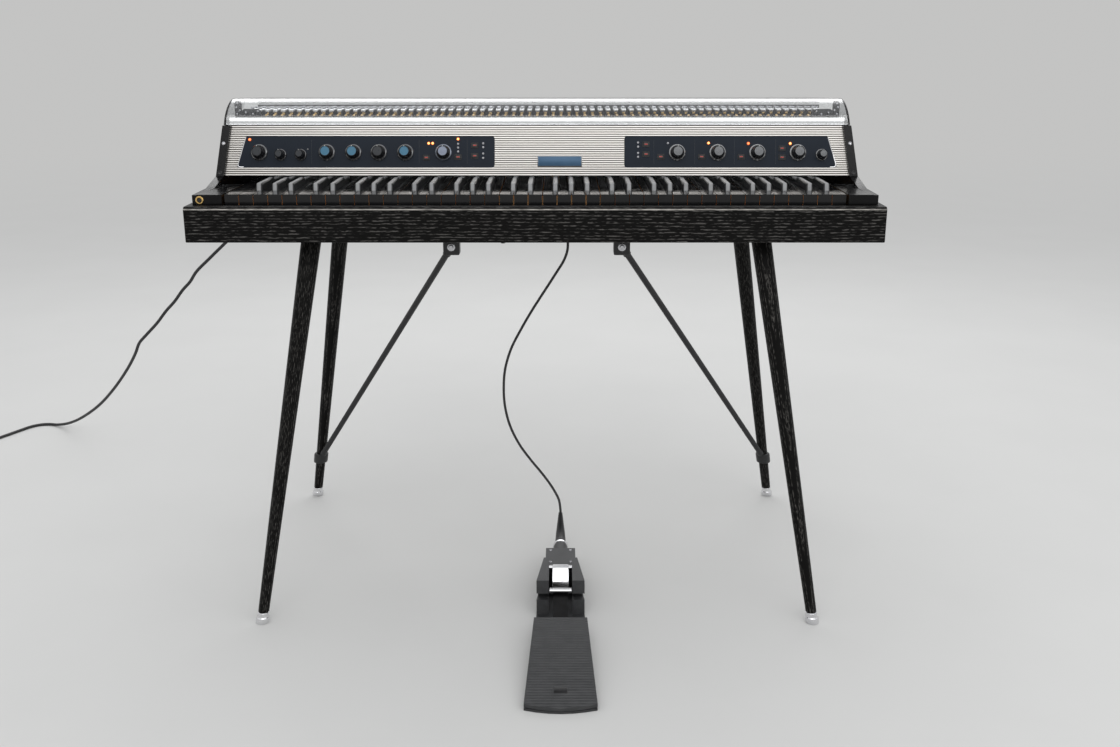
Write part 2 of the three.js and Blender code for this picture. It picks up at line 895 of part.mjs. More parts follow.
// Tone bars: one rail across the harp's back with a bar for each key, longer in the bass.
function toneBars() {
  const foot = harpTop + gap;
  const railFrontY = harpFront + harpDepth - toneRailSetback;
  const barFoot = foot + toneRailHeight - toneBarThickness;
  const railEnd = innerHalf(harpTop) - gap - harpRailDepth / 2;
  const half = railEnd * toneBarSpanShare;
  const pitch = (2 * half) / toneBarCount;
  const barHalfWidth = (pitch * toneBarWidthShare) / 2;
  const rail = box(
    [-railEnd, railFrontY, foot],
    [railEnd, railFrontY + toneRailDepth, foot + toneRailHeight],
  );
  const bars = Array.from({ length: toneBarCount }, (_, i) => {
    const middle = (i + 1 / 2) * pitch - half;
    const share = i / (toneBarCount - 1);
    const length = toneBarLongLength + (toneBarShortLength - toneBarLongLength) * share;
    const front = Math.max(toneBarFront, railFrontY - length);
    return box(
      [middle - barHalfWidth, front, barFoot],
      [middle + barHalfWidth, railFrontY + toneRailDepth / 2, barFoot + toneBarThickness],
    );
  });
  return join([rail, ...bars]);
}

add(upper, "hood", hood(), "clearAcrylic");
add(upper, "harp_frame", harpFrame(), "harpMetal");
add(upper, "tone_bars", toneBars(), "harpMetal");

// Keybed: a board with front, balance and back rails.
function keyFrame() {
  const foot = boardThickness - caseFloorDrop + gap;
  const deck = foot + keybedThickness;
  const keyUnderside = -naturalDepth - gap;
  const frontTop = -naturalDepth - keyTravelRoom;
  const back = stickLength + joinBarSpace + 2 * joinBarDepth + joinBarSpace;
  const balanceFront = keyPivotSetback - balanceWidth / 2;
  const outline = polygon([
    [0, foot],
    [back, foot],
    [back, keyUnderside],
    [back - backRailDepth, keyUnderside],
    [back - backRailDepth, deck],
    [balanceFront + balanceWidth, deck],
    [balanceFront + balanceWidth, keyUnderside],
    [balanceFront, keyUnderside],
    [balanceFront, deck],
    [frontRailDepth, deck],
    [frontRailDepth, frontTop],
    [0, frontTop],
  ]);
  const half = keyboardHalf - keybedSideGap;
  return extrudeX(outline, -half, half);
}

function boundaryX(index) {
  return index * naturalPitch - keyboardHalf;
}

function sharpShare(boundary) {
  if (boundary <= 0 || boundary >= naturalCount) return null;
  return sharpOffsetShares[boundary % sharpOffsetShares.length];
}

function sharpX(boundary) {
  return boundaryX(boundary) + sharpShare(boundary) * naturalPitch;
}

// A natural: full width in front of the sharps, narrower between them.
function natural(index, tailEnd) {
  const left = boundaryX(index) + keyGap / 2;
  const right = boundaryX(index + 1) - keyGap / 2;
  const notch = sharpSetback - sharpClearance;
  const reach = sharpWidth / 2 + sharpClearance;
  const points = [
    [left, 0],
    [right, 0],
  ];
  if (sharpShare(index + 1) !== null) {
    const edge = sharpX(index + 1) - reach;
    points.push([right, notch], [edge, notch], [edge, tailEnd]);
  } else {
    points.push([right, tailEnd]);
  }
  if (sharpShare(index) !== null) {
    const edge = sharpX(index) + reach;
    points.push([edge, tailEnd], [edge, notch], [left, notch]);
  } else {
    points.push([left, tailEnd]);
  }
  return extrudeZ(polygon(points), -naturalDepth, 0);
}

// A sharp: sloped front, softened edges, and a deeper stick behind the playing part.
function sharp(boundary, overBarEnd = 0) {
  const skirtEnd = sharpSetback + skirtLength;
  const outline = [
    [sharpSetback, -sharpSkirt],
    [skirtEnd, -sharpSkirt],
    [skirtEnd, -naturalDepth],
    [stickLength, -naturalDepth],
  ];
  if (overBarEnd > 0) {
    outline.push([stickLength, keyGap / 2], [overBarEnd, keyGap / 2], [overBarEnd, stickWidthRise]);
  } else {
    outline.push([stickLength, stickWidthRise]);
  }
  outline.push([skirtEnd, stickWidthRise], [skirtEnd - sharpSkirt, sharpRise]);
  outline.push([sharpSetback + sharpSlope, sharpRise]);
  const geometry = new THREE.ExtrudeGeometry(polygon(outline), {
    depth: sharpWidth - 2 * sharpRounding,
    bevelThickness: sharpRounding,
    bevelSize: sharpRounding,
    bevelOffset: -sharpRounding,
    bevelSegments: 1,
  });
  geometry.translate(0, 0, sharpRounding - sharpWidth / 2).applyMatrix4(outlineToX);
  return geometry.translate(sharpX(boundary), 0, 0);
}

function isPlayedNatural(index) {
  const end = firstPlayedNatural + octavesPlayed * naturalNames.length;
  return index >= firstPlayedNatural && index < end;
}

function isPlayedSharp(boundary) {
  return isPlayedNatural(boundary) && isPlayedNatural(boundary - 1);
}

const naturalIndexes = Array.from({ length: naturalCount }, (_, i) => i);
const sharpBoundaries = naturalIndexes.filter((i) => sharpShare(i) !== null);

// The keys that are not played one by one, held together by a bar behind the played octave.
function otherNaturals() {
  const barFront = stickLength + joinBarSpace;
  const half = keyboardHalf - keyGap / 2;
  const bar = box([-half, barFront, -naturalDepth], [half, barFront + joinBarDepth, 0]);
  const keys = naturalIndexes
    .filter((i) => !isPlayedNatural(i))
    .map((i) => natural(i, barFront + joinBarDepth / 2));
  return join([bar, ...keys]);
}

function otherSharps() {
  const barFront = stickLength + 2 * joinBarSpace + joinBarDepth;
  const half = keyboardHalf - keyGap / 2;
  const bar = box([-half, barFront, -naturalDepth], [half, barFront + joinBarDepth, stickWidthRise]);
  const keys = sharpBoundaries
    .filter((i) => !isPlayedSharp(i))
    .map((i) => sharp(i, barFront + joinBarDepth / 2));
  return join([bar, ...keys]);
}

add(upper, "key_frame", keyFrame(), "keybedWood");
naturalNames.forEach((name, i) => {
  add(upper, `key_${name}`, natural(firstPlayedNatural + i, stickLength), "naturalBlack");
});
sharpBoundaries.filter(isPlayedSharp).forEach((boundary) => {
  const name = naturalNames[boundary - firstPlayedNatural - 1];
  add(upper, `key_${name}_sharp`, sharp(boundary), "sharpGrey");
});
add(upper, "other_naturals", otherNaturals(), "naturalBlack");
add(upper, "other_sharps", otherSharps(), "sharpGrey");

// The middle line of a leg, from the floor up to the case's underside.
function legLine(side, rear) {
  const spread = rear ? rearLegSpread : frontLegSpread;
  const setback = rear ? rearLegSetback : frontLegSetback;
  const along = rear ? splayAlong : -splayAlong;
  const top = new THREE.Vector3(side * spread, setback, caseFloorHeight - gap);
  const foot = new THREE.Vector3(side * (spread + splayOut), setback + along, 0);
  return { top, foot };
}

function pointAtHeight({ top, foot }, height) {
  return foot.clone().lerp(top, height / top.z);
}

function legRadiusAt(line, height) {
  return legFootRadius + (legTopRadius - legFootRadius) * (height / line.top.z);
}

function leg(line, extra = 0) {
  const low = footHeight + gap;
  const heights = [low, line.top.z];
  return loft(
    heights.map((height) => {
      return levelRing(pointAtHeight(line, height), legRadiusAt(line, height) + extra, legSides);
    }),
  );
}

function legFoot(line) {
  const shoulder = footHeight * capShare;
  return loft([
    levelRing(pointAtHeight(line, 0), footRadius, legSides),
    levelRing(pointAtHeight(line, shoulder), footRadius, legSides),
    levelRing(pointAtHeight(line, footHeight), legFootRadius, legSides),
  ]);
}

// A brace: bracket under the case and a rod down to the rear leg, shaped to the leg where they meet.
function brace(side) {
  const line = legLine(side, true);
  const top = new THREE.Vector3(side * braceTopSpread, braceTopSetback, caseFloorHeight - braceTopDrop);
  const end = pointAtHeight(line, braceFootHeight);
  const bracketTop = caseFloorHeight - gap;
  const bracketX = side * braceTopSpread;
  const bracketFront = braceTopSetback - bracketDepth / 2;
  const bracket = box(
    [bracketX - bracketWidth / 2, bracketFront, bracketTop - bracketHeight],
    [bracketX + bracketWidth / 2, bracketFront + bracketDepth, bracketTop],
  );
  const collarHalf = 2 * braceRadius;
  const collar = loft(
    [-collarHalf, collarHalf].map((rise) => {
      const height = braceFootHeight + rise;
      return levelRing(pointAtHeight(line, height), legRadiusAt(line, height) + braceRadius, legSides);
    }),
  );
  const whole = join([bracket, rod(top, end, braceRadius, braceSides), collar]);
  return cut(whole, [leg(line, gap)]);
}

[
  ["front_left", -1, false],
  ["front_right", 1, false],
  ["rear_left", -1, true],
  ["rear_right", 1, true],
].forEach(([place, side, rear]) => {
  const line = legLine(side, rear);
  add(piano, `leg_${place}`, leg(line), "blackWood");
  add(piano, `foot_${place}`, legFoot(line), "chrome");
});
add(piano, "brace_left", brace(-1), "blackSteel");
add(piano, "brace_right", brace(1), "blackSteel");

// Sustain pedal, in its own group on the floor
const pedal = new THREE.Group();
pedal.position.x = pedalOffset;
piano.add(pedal);

const boardLength = pedalToeY - pedalHeelY;
const boardSlope = (boardToeHeight - boardHeelHeight) / boardLength;
const heelPinY = pedalHeelY + heelBlockHeight;
const heelPinHeight = pedalPlateThickness + heelBlockHeight / 2;

function pedalHalfAt(y) {
  const share = THREE.MathUtils.clamp((y - pedalHeelY) / boardLength, 0, 1);
  return (pedalHeelWidth + (pedalToeWidth - pedalHeelWidth) * share) / 2;
}

function boardTopAt(y) {
  return boardHeelHeight + footboardThickness / 2 + boardSlope * (y - pedalHeelY);
}

// An outline from above whose front is the bowed heel edge, closed by points from right to left.
function heelOutline(rest) {
  const shape = new THREE.Shape();
  shape.moveTo(-pedalHalfAt(pedalHeelY), pedalHeelY);
  shape.quadraticCurveTo(0, pedalHeelY - 2 * pedalBow, pedalHalfAt(pedalHeelY), pedalHeelY);
  rest.forEach(([x, y]) => shape.lineTo(x, y));
  [...rest].reverse().forEach(([x, y]) => shape.lineTo(-x, y));
  shape.closePath();
  return shape;
}

// Base: floor plate that follows the board's taper, two uprights beside the lever, each with a slot across
// its front, and the rear housing.
function pedalBase() {
  const plate = heelOutline([
    [uprightFrontHalf, uprightFrontY],
    [uprightRearHalf, uprightRearY],
  ]);
  const floorPlate = extrudeZ(plate, 0, pedalPlateThickness, bowSteps);
  const uprights = [-1, 1].map((side) => {
    const corners = (frontY, z) => [
      new THREE.Vector3(side * uprightInnerHalf, frontY, z),
      new THREE.Vector3(side * uprightFrontHalf, frontY, z),
      new THREE.Vector3(side * uprightRearHalf, uprightRearY, z),
      new THREE.Vector3(side * uprightInnerHalf, uprightRearY, z),
    ];
    return loft([corners(uprightFrontY, 0), corners(uprightFrontY + uprightFrontSlope, uprightHeight)]);
  });
  const frontSlots = box(
    [-uprightFrontHalf - gap, uprightFrontY - gap, uprightSlotFoot],
    [uprightFrontHalf + gap, uprightFrontY + uprightSlotDepth, uprightSlotTop],
  );
  const housingFront = uprightRearY - leverThickness;
  const housing = box([-housingHalf, housingFront, 0], [housingHalf, housingEndY, housingHeight]);
  const boreReach = uprightInnerHalf + leverThickness;
  const bore = rod(
    new THREE.Vector3(-boreReach, leverAxleY, leverAxleHeight),
    new THREE.Vector3(boreReach, leverAxleY, leverAxleHeight),
    leverAxleRadius + hingeBoreRoom,
    knobSides,
  );
  const pinHalf = tongueWidth;
  const blocks = [-1, 1].map((side) => {
    const edges = [side * pinHalf, side * (pinHalf + heelBlockHeight)].sort((a, b) => a - b);
    return box(
      [edges[0], heelPinY - heelBlockHeight / 2, 0],
      [edges[1], heelPinY + heelBlockHeight / 2, heelPinHeight + heelPinRadius],
    );
  });
  const pin = rod(
    new THREE.Vector3(-pinHalf - heelPinRadius, heelPinY, heelPinHeight),
    new THREE.Vector3(pinHalf + heelPinRadius, heelPinY, heelPinHeight),
    heelPinRadius,
    braceSides,
  );
  return cut(join([floorPlate, ...uprights, housing, ...blocks, pin]), [bore, frontSlots]);
}

// Top of the tongue, level with the foot of the board's last rib.
const tongueTop = boardTopAt(pedalToeY) - boardRibDepth - gap;

// Footboard: ribbed across, tapered, bowed at the heel, with a level tongue that reaches under the lever.
function pedalBoard() {
  const front = pedalHeelY - pedalBow;
  const pitch = (pedalToeY - front) / boardRibCount;
  const outline = [
    [pedalToeY, boardTopAt(pedalToeY) - footboardThickness],
    [front, boardTopAt(front) - footboardThickness],
  ];
  for (let rib = 0; rib < boardRibCount; rib++) {
    const y = front + rib * pitch;
    outline.push([y, boardTopAt(y) - boardRibDepth]);
    outline.push([y + pitch * ribFlankShare, boardTopAt(y + pitch * ribFlankShare)]);
    outline.push([y + pitch * (1 - ribFlankShare), boardTopAt(y + pitch * (1 - ribFlankShare))]);
  }
  outline.push([pedalToeY, boardTopAt(pedalToeY) - boardRibDepth]);
  const ribbed = extrudeX(polygon(outline.reverse()), -pedalHeelWidth, pedalHeelWidth);
  const plan = heelOutline([[pedalHalfAt(pedalToeY), pedalToeY]]);
  const tapered = common(ribbed, extrudeZ(plan, 0, uprightHeight, bowSteps));
  const tongue = box(
    [-tongueWidth / 2, pedalToeY - footboardThickness, tongueTop - tongueThickness],
    [tongueWidth / 2, tongueEndY, tongueTop],
  );
  const slotFront = heelPinY - heelBlockHeight / 2 - heelPinRadius;
  const slotBack = heelPinY + heelBlockHeight / 2 + heelPinRadius;
  const slotCeiling = heelPinHeight + heelPinRadius + 2 * gap;
  const slots = [-1, 1].map((side) => {
    const edges = [side * (tongueWidth - gap), side * (tongueWidth + heelBlockHeight + gap)];
    edges.sort((a, b) => a - b);
    return box([edges[0], slotFront, 0], [edges[1], slotBack, slotCeiling]);
  });
  const bore = rod(
    new THREE.Vector3(-pedalHeelWidth, heelPinY, heelPinHeight),
    new THREE.Vector3(pedalHeelWidth, heelPinY, heelPinHeight),
    heelPinRadius + hingeBoreRoom,
    braceSides,
  );
  return cut(join([tapered, tongue]), [...slots, bore]);
}

// Lever: chrome plate on an axle through the uprights, with a cross bar that rests on the board's tongue.
function pedalLever() {
  const barHeight = tongueTop + gap + leverBarRadius;
  const axle = rod(
    new THREE.Vector3(-uprightInnerHalf - leverRise, leverAxleY, leverAxleHeight),
    new THREE.Vector3(uprightInnerHalf + leverRise, leverAxleY, leverAxleHeight),
    leverAxleRadius,
    legSides,
  );
  const bar = rod(
    new THREE.Vector3(-leverBarHalf, leverBarY, barHeight),
    new THREE.Vector3(leverBarHalf, leverBarY, barHeight),
    leverBarRadius,
    legSides,
  );
  const middleY = (leverBarY + leverAxleY) / 2;
  const middleZ = (barHeight + leverAxleHeight) / 2 + leverRise;
  const plate = extrudeX(
    polygon([
      [leverBarY, barHeight - leverThickness / 2],
      [middleY, middleZ - leverThickness / 2],
      [leverAxleY, leverAxleHeight - leverThickness / 2],
      [leverAxleY + leverThickness, leverAxleHeight + leverThickness / 2],
      [middleY, middleZ + leverThickness / 2],
      [leverBarY, barHeight + leverThickness / 2],
    ]),
    -leverHalfWidth,
    leverHalfWidth,
  );
  return join([plate, axle, bar]);
}

add(pedal, "pedal_base", pedalBase(), "castGrey");
add(pedal, "pedal_board", pedalBoard(), "boardGrey");
add(pedal, "pedal_lever", pedalLever(), "chrome");

// Sustain cable: plug under the case, free cable, and the connector behind the pedal
function sustainJack() {
  const top = caseFloorHeight - gap;
  const steps = [
    [0, jackRadius],
    [jackBarrel, jackRadius],
    [jackBarrel + jackTaper, cableRadius + gap],
  ];
  return loft(
    steps.map(([drop, radius]) => {
      return levelRing(new THREE.Vector3(jackX, jackY, top - drop), radius, bootSides);
    }),
  );
}

// The connector's middle line, as shares of its reach, of its rise and of its radius.
const bootShares = [
  { reachShare: 0, riseShare: 0, radiusShare: 1 },
  { reachShare: 0.3, riseShare: 0.05, radiusShare: 1 },
  { reachShare: 0.42, riseShare: 0.09, radiusShare: 0.72 },
  { reachShare: 0.72, riseShare: 0.41, radiusShare: 0.5 },
  { reachShare: 1, riseShare: 1, radiusShare: 0 },
];

function bootRings() {
  const centres = bootShares.map(({ reachShare, riseShare }) => {
    const y = housingEndY + gap + bootReach * reachShare;
    return new THREE.Vector3(pedalOffset, y, bootHeight + bootRise * riseShare);
  });
  return centres.map((centre, i) => {
    const before = centres[Math.max(0, i - 1)];
    const after = centres[Math.min(centres.length - 1, i + 1)];
    const direction = i === 0 ? new THREE.Vector3(0, 1, 0) : after.clone().sub(before);
    const radius = bootNeckRadius + (bootRadius - bootNeckRadius) * bootShares[i].radiusShare;
    return { centre, direction: direction.normalize(), radius };
  });
}

function pedalBoot() {
  return loft(
    bootRings().map(({ centre, direction, radius }) => {
      return ring(centre, direction, radius, radius, bootSides);
    }),
  );
}

// A cord's curve: straight out of one face, through its route, and straight into the other.
function cordCurve(start, startAlong, route, end, endAlong, radius) {
  const lead = 2 * radius;
  return curveThrough([
    start,
    start.clone().addScaledVector(startAlong, lead),
    ...vectors(route),
    end.clone().addScaledVector(endAlong, -lead),
    end,
  ]);
}

const bootEnd = bootRings().at(-1);
const down = new THREE.Vector3(0, 0, -1);
const back = new THREE.Vector3(0, 1, 0);
const sustainStart = new THREE.Vector3(jackX, jackY, caseFloorHeight - jackBarrel - jackTaper - 2 * gap);
const sustainEnd = bootEnd.centre.clone().addScaledVector(bootEnd.direction, gap);
const sustainCurve = cordCurve(
  sustainStart,
  down,
  sustainRoute,
  sustainEnd,
  bootEnd.direction.clone().negate(),
  cableRadius,
);

// Mains connector in the back wall, with its tapered strain relief
const glandStart = new THREE.Vector3(glandX, caseBack + gap, keyTopHeight - glandDrop);

function mainsGland() {
  const rows = [
    [0, glandHalfWidth, glandHalfHeight, glandRoundShare],
    [glandBody, glandHalfWidth, glandHalfHeight, glandRoundShare],
    [glandBody + glandNeckRadius, glandHalfHeight, glandHalfHeight * capShare, neckRoundShare],
    [glandBody + glandTaper, glandNeckRadius, glandNeckRadius, 1],
  ];
  return loft(
    rows.map(([past, halfWidth, halfHeight, roundShare]) => {
      const centre = glandStart.clone().addScaledVector(back, past);
      return ring(centre, back, halfWidth, halfHeight, glandSides, roundShare);
    }),
  );
}

// The coil's middle line, wound clockwise: in along the floor, up a layer while the spiral turns, and out
// again on top.
function coilPoint(turns) {
  const total = 2 * coilTurnsEachLayer + 1 / 2;
  const inner = coilMiddleRadius - (coilTurnPitch * coilTurnsEachLayer) / 2;
  const turning = total / 2;
  const radius = inner - coilTurnPitch / 4 + coilTurnPitch * Math.abs(turns - turning);
  const climb = THREE.MathUtils.clamp((turns - coilTurnsEachLayer) * 2, 0, 1);
  const angle = -2 * Math.PI * turns;
  const height = coilFloor + coilTurnPitch * climb;
  return new THREE.Vector3(radius * Math.cos(angle), radius * Math.sin(angle), height);
}

const coilFloor = leadRoute.at(-1)[2];
const [leadLast, leadBeforeLast] = [vectors(leadRoute).at(-1), vectors(leadRoute).at(-2)];
const leadHeading = leadLast.clone().sub(leadBeforeLast);
const coilStartAngle = Math.atan2(leadHeading.x, -leadHeading.y);

// Rings of the coil's tube, with a straight stretch of one diameter at each end.
function coilLine() {
  const total = 2 * coilTurnsEachLayer + 1 / 2;
  const steps = Math.round(total * coilLoopSteps);
  const points = Array.from({ length: steps + 1 }, (_, i) => coilPoint((total * i) / steps));
  const straight = 2 * leadRadius;
  const tangent = (a, b) => b.clone().sub(a).setZ(0).normalize();
  const first = points[0].clone().addScaledVector(tangent(points[0], points[1]), -straight);
  const last = points.at(-1).clone().addScaledVector(tangent(points.at(-2), points.at(-1)), straight);
  return [first, ...points, last];
}

function coilTube(points) {
  return loft(
    points.map((point, i) => {
      const before = points[Math.max(0, i - 1)];
      const after = points[Math.min(points.length - 1, i + 1)];
      const along = after.clone().sub(before).normalize();
      const up = new THREE.Vector3(0, 0, 1);
      const side = new THREE.Vector3().crossVectors(up, along).normalize();
      const over = new THREE.Vector3().crossVectors(along, side);
      return Array.from({ length: coilSides }, (_, k) => {
        const angle = (2 * Math.PI * k) / coilSides;
        return point
          .clone()
          .addScaledVector(side, leadRadius * Math.cos(angle))
          .addScaledVector(over, leadRadius * Math.sin(angle));
      });
    }),
  );
}

// The least gap between two stretches of a tube that are more than half a loop apart along it.
function leastGap(points, radius) {
  const apart = coilLoopSteps / 2;
  let least = Infinity;
  points.forEach((point, i) => {
    points.slice(i + apart).forEach((other) => {
      least = Math.min(least, point.distanceTo(other) - 2 * radius);
    });
  });
  return least;
}

const coilLocal = coilLine();
console.log(`least gap between the coil's turns: ${leastGap(coilLocal, leadRadius).toFixed(2)} mm`);

// The coil is turned and placed so that its first straight stretch carries on from the lead.
const coilTurn = new THREE.Matrix4().makeRotationZ(coilStartAngle);
const coilRotated = coilLocal.map((point) => point.clone().applyMatrix4(coilTurn));
const coilEntry = coilRotated[1].clone().sub(coilRotated[0]).normalize();
const leadEnd = leadLast.clone().addScaledVector(coilEntry, 2 * leadRadius);
const coilShift = leadEnd.clone().addScaledVector(coilEntry, gap).sub(coilRotated[0]);
const coilPoints = coilRotated.map((point) => point.clone().add(coilShift));

const leadStart = glandStart.clone().addScaledVector(back, glandBody + glandTaper + gap);
const leadCurve = curveThrough([
  leadStart,
  leadStart.clone().addScaledVector(back, 2 * leadRadius),
  ...vectors(leadRoute),
  leadEnd,
]);

// Plug: strain relief, moulded body, two flat blades and a round pin.
function mainsPlug() {
  const along = coilPoints.at(-1).clone().sub(coilPoints.at(-2)).setZ(0).normalize();
  const start = coilPoints.at(-1).clone().addScaledVector(along, gap);
  const lift = plugHalfHeight - start.z;
  const rows = [
    [0, plugNeckRadius, plugNeckRadius, 1, 0],
    [plugTaper, plugHalfHeight * capShare, plugHalfHeight * capShare, neckRoundShare, lift],
    [plugTaper + plugNeckRadius, plugHalfWidth, plugHalfHeight, plugRoundShare, lift],
    [plugTaper + plugBody, plugHalfWidth, plugHalfHeight, plugRoundShare, lift],
  ];
  const side = new THREE.Vector3().crossVectors(new THREE.Vector3(0, 0, 1), along);
  const up = new THREE.Vector3(0, 0, 1);
  const section = (centre, halfWidth, halfHeight, roundness) => {
    const soften = (value) => Math.sign(value) * Math.abs(value) ** roundness;
    return Array.from({ length: glandSides }, (_, i) => {
      const angle = (2 * Math.PI * (i + 1 / 2)) / glandSides;
      return centre
        .clone()
        .addScaledVector(side, halfWidth * soften(Math.cos(angle)))
        .addScaledVector(up, halfHeight * soften(Math.sin(angle)));
    });
  };
  const body = loft(
    rows.map(([past, halfWidth, halfHeight, roundShare, rise]) => {
      const centre = start.clone().addScaledVector(along, past);
      centre.z += rise;
      return section(centre, halfWidth, halfHeight, roundShare);
    }),
  );
  const face = start.clone().addScaledVector(along, plugTaper + plugBody - bladeThickness);
  face.z += lift;
  const blades = [-1, 1].map((way) => {
    const root = face.clone().addScaledVector(side, way * bladeSpread);
    const tip = root.clone().addScaledVector(along, bladeLength + bladeThickness);
    return loft([
      section(root, bladeThickness / 2, bladeWidth / 2, bladeRoundShare),
      section(tip, bladeThickness / 2, bladeWidth / 2, bladeRoundShare),
    ]);
  });
  const pinRoot = face.clone().addScaledVector(up, -plugHalfHeight / 2 - bladeThickness / 2);
  const pinTip = pinRoot.clone().addScaledVector(along, bladeLength + 2 * bladeThickness);
  const pin = loft([section(pinRoot, pinRadius, pinRadius, 1), section(pinTip, pinRadius, pinRadius, 1)]);
  return join([body, ...blades, pin]);
}

add(piano, "sustain_jack", sustainJack(), "cordBlack");
add(piano, "sustain_cable", cordTube(sustainCurve, cableRadius, cableSides, cableSteps), "cordBlack");
add(piano, "pedal_boot", pedalBoot(), "cordBlack");
add(piano, "mains_gland", mainsGland(), "cordBlack");
add(piano, "mains_lead", cordTube(leadCurve, leadRadius, leadSides, leadSteps), "cordBlack");
add(piano, "mains_coil", coilTube(coilPoints), "cordBlack");
add(piano, "mains_plug", mainsPlug(), "cordBlack");

export default piano;
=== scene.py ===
import json
from math import asin, atan, atan2, ceil, copysign, cos, pi, radians, sin, sqrt

import bmesh
import bpy
from mathutils import Matrix, Vector


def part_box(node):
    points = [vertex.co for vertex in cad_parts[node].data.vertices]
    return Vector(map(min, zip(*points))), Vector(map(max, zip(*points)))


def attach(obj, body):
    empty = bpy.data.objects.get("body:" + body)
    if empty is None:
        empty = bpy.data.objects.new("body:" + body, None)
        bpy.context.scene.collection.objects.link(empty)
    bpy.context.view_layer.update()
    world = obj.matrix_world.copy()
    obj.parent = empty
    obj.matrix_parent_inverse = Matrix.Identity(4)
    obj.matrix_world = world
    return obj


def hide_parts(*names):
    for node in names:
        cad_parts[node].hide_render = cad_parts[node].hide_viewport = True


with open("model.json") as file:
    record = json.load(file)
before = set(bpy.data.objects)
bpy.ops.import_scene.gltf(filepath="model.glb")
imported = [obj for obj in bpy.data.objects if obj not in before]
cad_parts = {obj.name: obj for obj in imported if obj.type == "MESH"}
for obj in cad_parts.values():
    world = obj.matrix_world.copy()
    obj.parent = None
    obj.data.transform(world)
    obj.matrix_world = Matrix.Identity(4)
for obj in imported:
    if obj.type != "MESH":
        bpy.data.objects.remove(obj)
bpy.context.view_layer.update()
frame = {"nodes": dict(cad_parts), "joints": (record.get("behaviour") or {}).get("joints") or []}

# Electric piano with struck tone bars under a clear hood. Metres, +Z up, the keyboard faces -Y.
# Places on the keyboard count back from the naturals' front edge and up from their tops.
key_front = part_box("key_c")[0].y
key_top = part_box("key_c")[1].z
joints = {joint["child"]: joint for joint in frame["joints"]}
RIGHT, BACK, UP = Vector((1, 0, 0)), Vector((0, 1, 0)), Vector((0, 0, 1))
moved = Matrix.Translation


def at(x, back, up):
    """A place counted from the keys."""
    return Vector((x, key_front + back, key_top + up))


def on_floor(x, back, height):
    """A place counted back from the keys' front edge and up from the floor."""
    return Vector((x, key_front + back, height))


def mm(*rows):
    """Rows whose first two numbers are in millimetres, in metres."""
    return [(row[0] / 1000, row[1] / 1000, *row[2:]) for row in rows]


def spot(node, *shares):
    """A point in a node's box, from its shares along each axis."""
    low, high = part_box(node)
    return Vector(a + (b - a) * share for a, b, share in zip(low, high, shares))


def show(name, data):
    """A new object in the scene."""
    made = bpy.data.objects.new(name, data)
    bpy.context.scene.collection.objects.link(made)
    return made


# Camera
CAMERA_X = 0.040
CAMERA_FRONT = 1.905
CAMERA_HEIGHT = 1.001
CAMERA_PITCH = radians(16.2)
CAMERA_LENS = 37.64

camera_data = bpy.data.cameras.new("camera")
camera_data.lens = CAMERA_LENS
camera = show("camera", camera_data)
camera.location = on_floor(CAMERA_X, -CAMERA_FRONT, CAMERA_HEIGHT)
camera.rotation_euler = (pi / 2 - CAMERA_PITCH, 0, 0)
bpy.context.scene.camera = camera

# Ribbed panel: x along it, y up its slope, z out of its face
PANEL_SETBACK = 0.140
PANEL_FOOT = 0.014
PANEL_LEAN = radians(15)
PANEL_HEIGHT = 0.087
RIB_COUNT = 23
RIB_PITCH = PANEL_HEIGHT / RIB_COUNT
PLATE_PROUD = 0.0004
WALL_PROUD = 0.0058
panel = moved(at(0, PANEL_SETBACK, PANEL_FOOT)) @ Matrix.Rotation(pi / 2 - PANEL_LEAN, 4, "X")

# Cords
SUSTAIN_DIAMETER = 0.005
MAINS_DIAMETER = 0.007
COIL_PITCH = 0.0076
COIL_MIDDLE_RADIUS = 0.0385
COIL_LAYER_TURNS = 2
COIL_STEPS = 48
CORD_STEP = 0.006
TOUCH_GAP = 0.0003

# Routes of the two cords: x, back from the keys' front edge, height above the floor
SUSTAIN_ROUTE = [
    (0.055, 0.300, 0.619), (0.054, 0.300, 0.604), (0.047, 0.301, 0.584), (0.033, 0.302, 0.561),
    (0.018, 0.303, 0.537), (0.002, 0.304, 0.512), (-0.016, 0.305, 0.483), (-0.036, 0.305, 0.448),
    (-0.056, 0.305, 0.408), (-0.068, 0.305, 0.366), (-0.071, 0.305, 0.325), (-0.069, 0.305, 0.292),
    (-0.060, 0.306, 0.252), (-0.042, 0.307, 0.212), (-0.019, 0.307, 0.178), (0.002, 0.307, 0.151),
    (0.018, 0.306, 0.129), (0.030, 0.303, 0.110), (0.038, 0.296, 0.095),
]
MAINS_ROUTE = [
    (-0.527, 0.638, 0.713), (-0.534, 0.654, 0.707), (-0.548, 0.666, 0.694), (-0.576, 0.673, 0.668),
    (-0.625, 0.673, 0.624), (-0.690, 0.674, 0.566), (-0.745, 0.677, 0.516), (-0.776, 0.681, 0.487),
    (-0.794, 0.688, 0.463), (-0.814, 0.693, 0.443), (-0.836, 0.698, 0.416), (-0.861, 0.707, 0.391),
    (-0.887, 0.716, 0.361), (-0.920, 0.731, 0.329), (-0.943, 0.743, 0.306), (-0.959, 0.757, 0.279),
    (-0.985, 0.782, 0.243), (-1.021, 0.815, 0.200), (-1.064, 0.853, 0.154), (-1.112, 0.895, 0.109),
    (-1.164, 0.939, 0.069), (-1.217, 0.983, 0.035), (-1.263, 1.020, 0.013), (-1.294, 1.038, 0.0048),
    (-1.316, 1.045, 0.0038), (-1.338, 1.041, 0.0038), (-1.356, 1.025, 0.0038),
    (-1.371, 0.996, 0.0038), (-1.388, 0.960, 0.0038), (-1.403, 0.929, 0.0038),
    (-1.416, 0.898, 0.0038),
]


